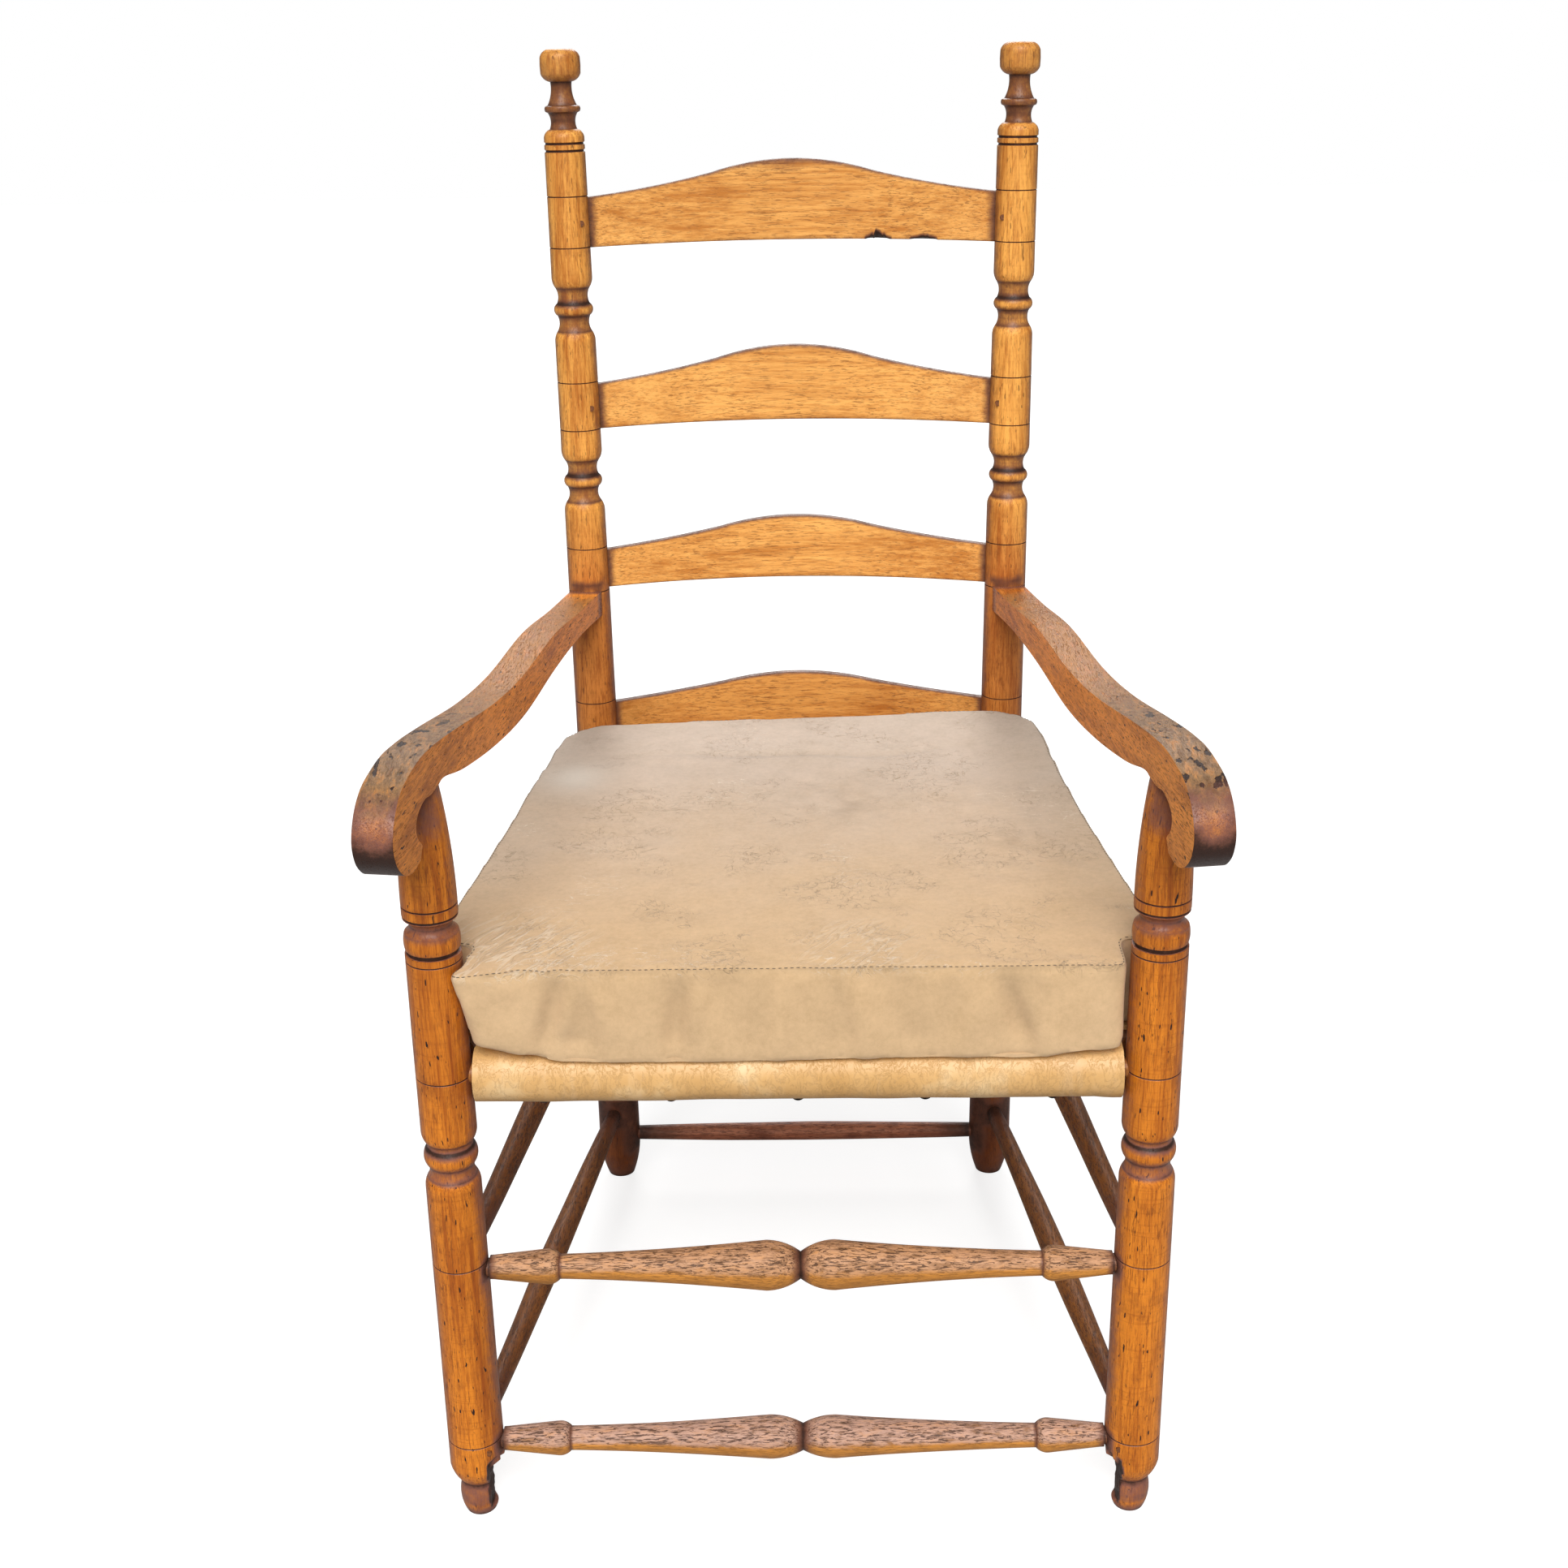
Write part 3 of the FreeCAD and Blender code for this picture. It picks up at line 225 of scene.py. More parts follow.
class Nodes:
    """A node tree with one way to add a node."""

    def __init__(self, tree):
        self.tree = tree

    def node(self, kind, settings=None, inputs=None, output=0):
        """Adds a node: its settings first, then the values or links of its sockets."""
        made = self.tree.nodes.new(kind)
        for name, setting in (settings or {}).items():
            if name == "stops":
                self._set_stops(made.color_ramp, setting)
            else:
                setattr(made, name, setting)
        self.feed(made, inputs or {})
        return Value(self, made.outputs[output])

    def feed(self, made, inputs):
        """Links or sets a node's sockets."""
        for key, given in inputs.items():
            if isinstance(given, Value):
                self.tree.links.new(given.socket, made.inputs[key])
            else:
                made.inputs[key].default_value = given

    @staticmethod
    def _set_stops(ramp, stops):
        while len(ramp.elements) < len(stops):
            ramp.elements.new(0.5)
        for element, (position, colour) in zip(ramp.elements, stops):
            element.position = position
            element.color = (*colour, 1)


class Finish(Nodes):
    """A material built from nodes round one Principled shader."""

    def __init__(self, name):
        self.material = bpy.data.materials.new(name)
        self.material.use_nodes = True
        super().__init__(self.material.node_tree)
        self.shader = self.tree.nodes["Principled BSDF"]
        self.place = self.node("ShaderNodeTexCoord", output="Object")
        self.colour = None

    def stretched(self, scale, location=(0, 0, 0)):
        """Object coordinates, scaled along each axis."""
        return self.node("ShaderNodeMapping", None,
                         {"Vector": self.place, "Scale": scale, "Location": location})

    def noise(self, vector, scale, detail=4, roughness=0.55, distortion=0):
        """Soft noise that lies about 0.5."""
        return self.node("ShaderNodeTexNoise", None, {
            "Vector": vector, "Scale": scale, "Detail": detail, "Roughness": roughness,
            "Distortion": distortion})

    def between(self, value, low, high):
        """The value's way from low to high, kept within 0 and 1."""
        return self.node("ShaderNodeMapRange", {"interpolation_type": "SMOOTHSTEP"},
                         {"Value": value, "From Min": low, "From Max": high})

    def line(self, value, low, middle, high):
        """Thin band that is 1 where the value is in the middle and 0 past low and high."""
        return self.between(value, low, middle) - self.between(value, middle, high)

    def axis(self, name):
        """One of the object coordinates."""
        return self.node("ShaderNodeSeparateXYZ", None, {0: self.place}, output=name)

    def away(self, place):
        """Distance from a place."""
        return self.node("ShaderNodeVectorMath", {"operation": "DISTANCE"}, {0: self.place, 1: place},
                         output="Value")

    def attribute(self, name):
        """Value that the mesh has at each vertex, or 0 where it has none."""
        return self.node("ShaderNodeAttribute", {"attribute_name": name}, output="Fac")

    def mix(self, factor, first, second, blend="MIX"):
        """Colour between two colours."""
        colours = [given if isinstance(given, Value) else (*given, 1) for given in (first, second)]
        return self.node("ShaderNodeMix", {"data_type": "RGBA", "blend_type": blend},
                         {0: factor, 6: colours[0], 7: colours[1]}, output=2)

    def lay(self, factor, colour, blend="MIX"):
        """Lays a colour over the finish by a factor."""
        self.colour = self.mix(factor, self.colour, colour, blend)

    def ramp(self, factor, stops):
        """Colour that follows a value through its stops."""
        return self.node("ShaderNodeValToRGB", {"stops": stops}, {"Fac": factor})

    def bump(self, height, strength, distance):
        """Normal of a fine relief."""
        return self.node("ShaderNodeBump", None,
                         {"Height": height, "Strength": strength, "Distance": distance}, output="Normal")

    def surface(self, **inputs):
        """Feeds the shader; underscores in a name stand for spaces."""
        self.feed(self.shader, {name.replace("_", " "): given for name, given in inputs.items()})
        return self.material


def ramped(value, low, high):
    """The value's smooth way from low to high, kept within 0 and 1."""
    share = min(1, max(0, (value - low) / (high - low)))
    return share * share * (3 - 2 * share)


def within(distance, reach):
    """1 close by, fading to 0 at the reach; the reach comes with the width of its fade."""
    limit, fade = reach
    return ramped(limit - distance, 0, fade)


def blended(first, second, share):
    """Colour a share of the way between two colours."""
    return tuple(a + (b - a) * share for a, b in zip(first, second))


def hump(*offsets):
    """1 in the middle, falling off smoothly with the offsets from it."""
    return math.exp(-sum(offset ** 2 for offset in offsets))


def noise_at(x, y=0, z=0):
    """Noise at a place, about 0."""
    return noise.noise(Vector((x, y, z)))


def wood_finish(name, light, dark, colours, grain, *, pores, pits, age, flecks=0.0, bare_and_sheen_colour=None,
                film_colour=None, dented=0.0, turning=0.0, shade_tints=None):
    """Aged, varnished wood with its grain along an axis, wear and dirt where the piece has them, and painted
    shade and sheen.

    Pores, pits, stains of age, flecks, dents and rings of the lathe's turning each show by their share.
    Tints multiply the colour by height, painting shade on the lower parts.
    """
    finish = Finish(name)

    def figure(share, scale, shift=(0, 0, 0), others=1, **settings):
        """Noise drawn out along the grain."""
        stretch = tuple(share if axis == grain else others for axis in "XYZ")
        return finish.noise(finish.stretched(stretch, shift), scale, **settings)

    # Figure of the grain
    broad = figure(0.16, 15, (3, 5, 7), detail=5, roughness=0.6, distortion=0.9)
    streak = figure(0.035, 190, detail=6, roughness=0.72)
    fine = figure(0.05, 640, detail=4, roughness=0.68)
    finish.colour = finish.ramp(broad * 0.5 + streak * 0.5, (
        (0.4, dark), (0.48, blended(light, dark, 0.42)), (0.57, light)))
    finish.lay(finish.between(fine, 0.49, 0.63) * 0.6, dark)
    rings = figure(1, 380, others=0.06, detail=3, roughness=0.6)
    finish.lay(finish.between(rings, 0.52, 0.68) * turning, dark)
    # Pores, pits and stains
    dashes = figure(0.1, 900, detail=3, roughness=0.62)
    patches = finish.between(finish.noise(finish.place, 24, detail=3), 0.34, 0.62)
    open_pores = finish.between(dashes, 0.55, 0.62) * (patches * 0.5 + 0.4) * pores
    finish.lay(open_pores, blended(dark, colours.pore, 0.6))
    cell = figure(0.25, 430, (9, 2, 4), detail=1, roughness=0.3)
    dots = finish.between(cell, 0.71, 0.75) * pits
    finish.lay(dots, colours.grime)
    stains = finish.between(finish.noise(finish.place, 30, detail=6, roughness=0.7), 0.5, 0.72) * age * 0.75
    finish.lay(stains, blended(dark, colours.pore, 0.4))
    # Painted shade: darker lower down
    if shade_tints:
        finish.lay(1.0, finish.ramp(finish.axis("Z"), shade_tints), "MULTIPLY")
    # Bare wood, dents and marks; on the front and back stretchers the bare layer is a painted sheen on the
    # upper side
    worn = finish.attribute("worn")
    scuffs = figure(0.3, 150, detail=6, roughness=0.72, distortion=0.4)
    bare_and_sheen = finish.between(worn + (scuffs - 0.5) * 1.1 * finish.between(worn, 0.02, 0.3), 0.2, 0.85)
    bare_and_sheen_colour = bare_and_sheen_colour or colours.worn
    greyed = finish.ramp(scuffs, ((0.38, blended(bare_and_sheen_colour, colours.grime, 0.6)), (0.5, bare_and_sheen_colour),
                                  (0.68, blended(bare_and_sheen_colour, light, 0.4))))
    finish.lay(bare_and_sheen * (0.78 + dented * 0.15), greyed)
    gouges = figure(0.45, 120, (1, 6, 3), detail=3, roughness=0.5)
    dents = finish.between(gouges, 0.6, 0.63) * finish.between(worn, 0.66, 0.86) * dented
    finish.lay(dents * 0.95, colours.grime)
    squiggle = figure(0.13, 760, (2, 8, 5), detail=4, roughness=0.65, distortion=0.8)
    marks = finish.between(squiggle, 0.525, 0.565) * (worn * 0.85 + 0.15) * flecks
    finish.lay(marks, blended(colours.pore, colours.grime, 0.6))
    # Old dirt, with painted shade where the grime layer carries it: a film, and a crust where it is thickest
    dirt = finish.attribute("grime")
    broken = finish.noise(finish.place, 230, detail=5, roughness=0.72)
    smears = finish.noise(finish.place, 55, detail=4, roughness=0.6)
    settled = dirt + ((broken - 0.5) * 0.5 + (smears - 0.5) * 0.45) * finish.between(dirt, 0.02, 0.2)
    film, crust = finish.between(settled, 0.08, 0.75), finish.between(settled, 0.6, 1.05)
    film_colour = film_colour or colours.varnish
    bloom = finish.mix(broken, blended(colours.grime, film_colour, 0.55), film_colour)
    finish.lay(film * 0.92, bloom)
    finish.lay(crust, blended(colours.grime, colours.pore, 0.3))
    rough = (0.36 + streak * 0.14 + open_pores * 0.25 + bare_and_sheen * 0.1 + crust * 0.15
             - film * (0.08 + dented * 0.12))
    relief = (streak * 0.3 + fine * 0.25 - open_pores * 0.9 - dots * 1.5 - dents * 2.5 - marks * 0.8
              + broken * 0.2)
    return finish.surface(Base_Color=finish.colour, Roughness=rough, Specular_IOR_Level=0.3,
                          Normal=finish.bump(relief, 0.6, 0.4 * MM))


def hide_finish(colours):
    """Smooth yellow hide with fine creases and painted highlight streaks."""
    finish = Finish("Seat_Hide")
    cloud = finish.noise(finish.place, 18, detail=4, roughness=0.6)
    grain = finish.noise(finish.place, 900, detail=3, roughness=0.6)
    crease = finish.noise(finish.stretched((1, 1, 0.5)), 120, detail=6, roughness=0.7, distortion=1.2)
    lines = finish.line(crease, 0.47, 0.5, 0.53)
    finish.colour = finish.ramp(cloud, (
        (0.3, blended(colours.hide, (0.5, 0.25, 0.06), 0.45)), (0.52, colours.hide),
        (0.72, blended(colours.hide, (0.95, 0.75, 0.45), 0.5))))
    # Painted highlight: pale streaks on the hide
    highlight_bands = finish.noise(finish.stretched((1, 0.2, 0.2)), 60, detail=5, roughness=0.65)
    finish.lay(finish.between(highlight_bands, 0.5, 0.68) * 0.18, blended(colours.hide, (1, 0.82, 0.58), 0.6))
    finish.lay(lines * 0.3, blended(colours.hide, colours.pore, 0.5))
    # Painted shade from the grime layer, towards the underside of the rolls
    finish.lay(finish.attribute("grime") * 0.8, blended(colours.hide, colours.grime, 0.75))
    relief = grain * 0.3 - lines * 0.6 + cloud * 0.4
    return finish.surface(Base_Color=finish.colour, Roughness=0.34 + grain * 0.2,
                          Normal=finish.bump(relief, 0.5, 0.4 * MM))


# Heights between which the cushion's band turns into its top, and where its cover is wrinkled
COVER_TOP = (0.51, 0.525)
WRINKLED_CORNER, WRINKLED_SEAM = (-0.225, -0.245, 0.53), (0.05, -0.235, 0.535)


def nubuck_finish(colours):
    """Napped cover: soft clouds, warm towards the front, with creases, scuffs and a fine nap."""
    finish = Finish("Cushion_Nubuck")
    nubuck = colours.nubuck
    # Colour that cools towards the back, and its clouds
    cloud = finish.noise(finish.place, 6, detail=5, roughness=0.6, distortion=0.4)
    mottle = finish.noise(finish.place, 45, detail=6, roughness=0.7)
    nap = finish.noise(finish.place, 1300, detail=3, roughness=0.7)
    grit = finish.noise(finish.place, 210, detail=5, roughness=0.75)
    cool = finish.between(finish.axis("Y") + (cloud - 0.5) * 0.25, -0.3, 0.25)
    finish.colour = finish.mix(cool, blended(nubuck, (0.68, 0.38, 0.16), 0.3),
                               blended(nubuck, (0.52, 0.44, 0.38), 0.75))
    tone = finish.ramp(cloud * 0.25 + mottle * 0.35 + grit * 0.4,
                       ((0.38, (0.87, 0.86, 0.83)), (0.5, (0.985, 0.985, 0.985)), (0.62, (1.08, 1.08, 1.09))))
    finish.lay(1.0, tone, "MULTIPLY")
    # Dark creases and pale scuffs, on the top alone
    upper = finish.between(finish.axis("Z"), *COVER_TOP)
    wrinkle = finish.noise(finish.stretched((1, 1.6, 1), (4, 1, 2)), 24, detail=3, distortion=1.4)
    short = finish.noise(finish.stretched((1.5, 1, 1), (7, 3, 1)), 85, detail=2, roughness=0.5,
                         distortion=1.0)
    sparse = finish.between(finish.noise(finish.place, 13, detail=3), 0.5, 0.6) * upper
    creases = (finish.line(wrinkle, 0.488, 0.5, 0.512) + finish.line(short, 0.54, 0.555, 0.57)) * sparse
    finish.lay(creases * 0.6, blended(nubuck, colours.pore, 0.5))
    scratch = finish.noise(finish.stretched((0.5, 1.2, 1), (2, 9, 6)), 70, detail=2, roughness=0.5,
                           distortion=2.2)
    places = finish.noise(finish.stretched((1, 1, 1), (8, 3, 5)), 9, detail=4)
    scuffs = finish.line(scratch, 0.56, 0.575, 0.59) * (finish.between(places, 0.53, 0.63) * upper)
    finish.lay(scuffs * 0.6, blended(nubuck, (1, 0.95, 0.85), 0.6))
    # Fine wrinkles fanning from the front left corner and the front seam's middle: painted highlight and
    # painted shade
    slanted = finish.node("ShaderNodeMapping", {"vector_type": "TEXTURE"},
                          {"Vector": finish.place, "Rotation": (0, 0, 0.95), "Scale": (3.2, 0.7, 1)})
    fan = finish.noise(slanted, 85, detail=2, roughness=0.5, distortion=0.7)
    corner = finish.between(finish.away(WRINKLED_CORNER), 0.1, 0.035)
    middle = finish.between(finish.away(WRINKLED_SEAM), 0.07, 0.02) * 0.6
    drawn = corner.highest(middle) * upper
    ridge_highlights = finish.line(fan, 0.47, 0.52, 0.57) * drawn
    finish.lay(ridge_highlights * 0.45, blended(nubuck, (1, 0.93, 0.8), 0.6))
    valley_shade = finish.line(fan, 0.57, 0.6, 0.63) * drawn
    finish.lay(valley_shade * 0.5, blended(nubuck, colours.pore, 0.4))
    # Dirt and painted shade from the grime layer, and the rubbed patch
    finish.lay(finish.attribute("grime") * 0.8, blended(nubuck, colours.grime, 0.75))
    finish.lay(finish.attribute("worn") * 0.6, (0.78, 0.72, 0.62))
    relief = (nap * 0.35 + mottle * 1.2 + grit * 0.7 - creases * 2.4 + scuffs * 0.8 + ridge_highlights * 2
              - valley_shade * 2)
    return finish.surface(Base_Color=finish.colour, Roughness=0.78 + nap * 0.15, Sheen_Weight=0.12,
                          Sheen_Roughness=0.6, Normal=finish.bump(relief, 0.5, 0.5 * MM))


def iron_finish(colours):
    """Dull forged iron."""
    finish = Finish("Tack_Iron")
    rust = finish.between(finish.noise(finish.place, 300, detail=5), 0.5, 0.65)
    colour = finish.mix(rust * 0.6, colours.iron, (0.1, 0.035, 0.012))
    return finish.surface(Base_Color=colour, Roughness=0.5 + rust * 0.3, Metallic=0.8)


def peg_finish(colours):
    """End grain of a dark, dirty peg."""
    finish = Finish("Peg_Wood")
    rings = finish.noise(finish.place, 700, detail=4, roughness=0.7)
    colour = finish.ramp(rings, ((0.35, colours.pore),
                                 (0.7, blended(colours.pore, colours.maple_dark, 0.55))))
    return finish.surface(Base_Color=colour, Roughness=0.55 + rings * 0.2,
                          Normal=finish.bump(rings, 0.4, 0.3 * MM))


def face_out(shape):
    """Turns every face outwards."""
    bmesh.ops.recalc_face_normals(shape, faces=shape.faces[:])


def extruded(shape, faces):
    """New vertices of faces that are extruded and left in their place."""
    made = bmesh.ops.extrude_face_region(shape, geom=faces, use_keep_orig=True)
    return [item for item in made["geom"] if isinstance(item, bmesh.types.BMVert)]


def round_rims(shape, degrees, offset, segments):
    """Rounds the edges that turn by more than an angle."""
    rims = [edge for edge in shape.edges if edge.calc_face_angle(0) > math.radians(degrees)]
    bmesh.ops.bevel(shape, geom=rims, offset=offset, segments=segments, profile=0.5, affect="EDGES",
                    material=-1, clamp_overlap=True)


def add_piece(name, shape, material, node, body="frame"):
    """Makes a bmesh an object that rides on a body and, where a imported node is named, stands for it."""
    face_out(shape)
    mesh = bpy.data.meshes.new(name)
    shape.to_mesh(mesh)
    shape.free()
    mesh.polygons.foreach_set("use_smooth", [True] * len(mesh.polygons))
    mesh.set_sharp_from_angle(angle=SHARP_ANGLE)
    mesh.materials.append(material)
    piece = bpy.data.objects.new(name, mesh)
    bpy.context.scene.collection.objects.link(piece)
    if node:
        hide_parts(node)
    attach(piece, body)
    return piece


def set_finish(node, material):
    """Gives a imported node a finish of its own."""
    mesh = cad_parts[node].data
    mesh.materials.clear()
    mesh.materials.append(material)


class Profile:
    """Outline of a turned piece: points of radius, height and grime, from its foot up."""

    def __init__(self, radius, height, grime=0.0):
        self.points = [(radius, height, grime)]

    def run(self, radius, height, grime=0.0):
        """Straight to a new radius, with rings close enough for the piece's wobble."""
        last_radius, last_height, last_grime = self.points[-1]
        count = max(1, math.ceil(math.hypot(height - last_height, radius - last_radius) / RUN_STEP))
        for index in range(1, count + 1):
            share = index / count
            self.points.append((last_radius + (radius - last_radius) * share,
                                last_height + (height - last_height) * share,
                                grime if index == count else min(last_grime, grime)))
        return self

    def arc(self, bulge, radius, height, middle_grime=0.0, grime=0.0, upper=0.0):
        """Arc to a new radius through the bulge's radius halfway up, with more grime on its upper half."""
        start_radius, start_height, start_grime = self.points[-1]
        start, end = Vector((start_radius, start_height)), Vector((radius, height))
        via = Vector((bulge, (start_height + height) / 2))
        count = max(4, math.ceil((end - start).length / ARC_STEP))
        centre = circle_centre(start, via, end)
        first, half, last = (math.atan2(spot.y - centre.y, spot.x - centre.x)
                             for spot in (start, via, end))
        turn = wrapped(half - first) + wrapped(last - half)
        reach = (start - centre).length
        for index in range(1, count + 1):
            share = index / count
            angle = first + turn * share
            bell = 1 - abs(2 * share - 1)
            dirt = (start_grime if share < 0.5 else grime) * (1 - bell) ** 1.6 + middle_grime * bell
            dirt += upper * max(0, 2 * share - 1)
            self.points.append((centre.x + reach * math.cos(angle), centre.y + reach * math.sin(angle), dirt))
        return self

    def groove(self, depth, width):
        """Fine, dirty line cut round the piece at the present height."""
        radius, height, _ = self.points[-1]
        self.points += [(radius - depth, height + width * 0.3, 1.0),
                        (radius - depth, height + width * 0.7, 1.0), (radius, height + width, 0.0)]
        return self


def wrapped(angle):
    """Angle between minus and plus half a turn."""
    return (angle + math.pi) % (2 * math.pi) - math.pi


def circle_centre(first, second, third):
    """Centre of the circle through three points of a plane."""
    spread = 2 * ((second - first).cross(third - first))
    near, far = (second - first).length_squared, (third - first).length_squared
    side, other = second - first, third - first
    return first + Vector((other.y * near - side.y * far, side.x * far - other.x * near)) / spread


def turned(profile, placement, wobble=0.25 * MM, seed=0.0):
    """Shape spun from a profile about its own Z axis, a little out of round, and set in its place."""
    shape = bmesh.new()
    dirt = shape.verts.layers.float.new("grime")
    last = None
    for radius, height, grime in profile.points:
        spot = shape.verts.new((radius, 0, height))
        spot[dirt] = grime
        if last:
            shape.edges.new((last, spot))
        last = spot
    bmesh.ops.spin(shape, geom=shape.verts[:] + shape.edges[:], cent=(0, 0, 0), axis=(0, 0, 1),
                   angle=2 * math.pi, steps=RING_STEPS, use_merge=True, use_duplicate=False)
    poles = [spot for spot in shape.verts if math.hypot(*spot.co.xy) < 0.01 * MM]
    bmesh.ops.remove_doubles(shape, verts=poles, dist=0.02 * MM)
    for spot in shape.verts:
        out = Vector((spot.co.x, spot.co.y, 0))
        if out.length > MM:
            spot.co += out.normalized() * wobble * noise_at(
                spot.co.x * WOBBLE_ACROSS, spot.co.y * WOBBLE_ACROSS, spot.co.z * WOBBLE_ALONG + seed)
    bmesh.ops.transform(shape, matrix=placement, verts=shape.verts[:])
    return shape


def towards(start, end):
    """Matrix at the start with its Z axis towards the end."""
    return Matrix.Translation(start) @ UP.rotation_difference(end - start).to_matrix().to_4x4()


def front_spot(side, height):
    """Place on a front post's axis."""
    return Vector((side * FRONT_AXIS.x, FRONT_AXIS.y, height))


def back_spot(side, height):
    """Place on a back post's leaning axis."""
    spot = BACK_FOOT.lerp(BACK_HEAD, height / POST_LENGTH)
    return Vector((side * spot.x, spot.y, spot.z))


def smooth_points(points, count):
    """Evenly shared points on a smooth curve through the given ones."""
    made = []
    for index in range(count):
        place = index / (count - 1) * (len(points) - 1)
        before = min(int(place), len(points) - 2)
        share = place - before
        a, b, c, d = (Vector(points[min(max(before + step, 0), len(points) - 1)]) for step in (-1, 0, 1, 2))
        made.append(0.5 * (2 * b + (c - a) * share + (2 * a - 5 * b + 4 * c - d) * share ** 2
                           + (3 * b - a - 3 * c + d) * share ** 3))
    return made


def bead_and_coves(profile, shaft, centre, radii, spans):
    """Turns two coves with a bead between them and a rounded shoulder at each end of the shaft."""
    cove, root, bead, drop = (size * MM for size in radii)
    below, bead_low, bead_high, above, width = (span * MM for span in spans)
    edge = shaft - drop * 0.25
    profile.run(shaft, centre - below)
    profile.arc(edge, shaft - drop, centre - below + width, 0.0, 0.75)
    profile.arc(cove, root, centre - bead_low, 0.5, 0.85)
    profile.arc(bead, root, centre + bead_high, 0.12, 0.85, 0.35)
    profile.arc(cove, shaft - drop, centre + above - width, 0.5, 0.75)
    profile.arc(edge, shaft, centre + above, 0.0, 0.0)


def mark_shaft(profile, shaft, marks, bead, cuts, scribe_depth):
    """Turns a shaft's beads and cuts its lines, from low to high."""
    for kind, height in marks:
        place = height * MM
        if kind == "bead":
            bead_and_coves(profile, shaft(place), place, *bead)
        else:
            share, width = cuts[kind]
            profile.run(shaft(place), place).groove(scribe_depth * share, width * MM)


def back_post_profile(sizes):
    """Whittled foot, tapering shaft with scribed lines, two turnings and a finial."""
    def shaft(height):
        return sizes.back_radius_low + (sizes.back_radius_high - sizes.back_radius_low) * height / POST_LENGTH

    profile = Profile(0, 0, 0.9).run(13.4 * MM, 0, 0.9).arc(19.6 * MM, shaft(44 * MM), 44 * MM, 0.35, 0.0)
    mark_shaft(profile, shaft, BACK_MARKS, BACK_BEAD, BACK_CUTS, sizes.scribe_depth)
    profile.run(shaft(1.074), 1.074).arc(17.2 * MM, 12.6 * MM, 1.081, 0.15, 0.75)
    profile.arc(11.3 * MM, 13.6 * MM, 1.0952, 0.8, 0.8).run(15.8 * MM, 1.0962, 0.4)
    profile.arc(16.5 * MM, 15.8 * MM, 1.1008, 0.15, 0.4).run(13.4 * MM, 1.1018, 0.85)
    profile.arc(9.9 * MM, 9.8 * MM, 1.122, 0.6, 0.85).arc(16.2 * MM, 18.2 * MM, 1.129, 0.4, 0.2)
    profile.run(18.5 * MM, 1.136, 0.18).run(18.2 * MM, 1.143, 0.22)
    return profile.arc(16.6 * MM, 11.4 * MM, 1.150, 0.25, 0.2).run(0, 1.1502, 0.2)


def front_post_profile(sizes):
    """Rounded foot, shaft with a bead, vase shoulder, band and bottle neck up into the arm."""
    def shaft(height):
        return (sizes.front_radius_low
                + (sizes.front_radius_high - sizes.front_radius_low) * height / VASE_HEIGHT)

    profile = Profile(0, 0, 0.9).run(12.8 * MM, 0, 0.9).arc(16.6 * MM, 14.4 * MM, 32 * MM, 0.3, 0.95)
    profile.arc(20.4 * MM, shaft(50 * MM), 50 * MM, 0.25, 0.0)
    mark_shaft(profile, shaft, FRONT_MARKS, FRONT_BEAD, FRONT_CUTS, sizes.scribe_depth)
    high = sizes.front_radius_high
    profile.run(high, 531.4 * MM).run(high - 2.2 * MM, 532 * MM, 1.0).run(high - 2.2 * MM, 535 * MM, 1.0)
    profile.run(high - 0.5 * MM, 535.6 * MM, 0.3)
    profile.arc(high + 0.2 * MM, high - 0.8 * MM, 549 * MM, 0.08, 0.4, 0.15)
    profile.arc(17.6 * MM, 16.6 * MM, 555.5 * MM, 0.6, 0.75)
    profile.arc(17.8 * MM, high - 0.3 * MM, 561.8 * MM, 0.6, 0.4)
    profile.run(high - 1.1 * MM, 562.4 * MM, 1.0).run(high - 1.1 * MM, 563.8 * MM, 1.0)
    profile.run(high, 564.3 * MM).run(high, 571 * MM).groove(sizes.scribe_depth * 2.4, 2 * MM)
    profile.arc(19.8 * MM, 14.5 * MM, 668 * MM, 0.0, 0.6)
    return profile.run(9.5 * MM, 668.2 * MM, 0.6).run(9.5 * MM, 690 * MM).run(0, 690 * MM)


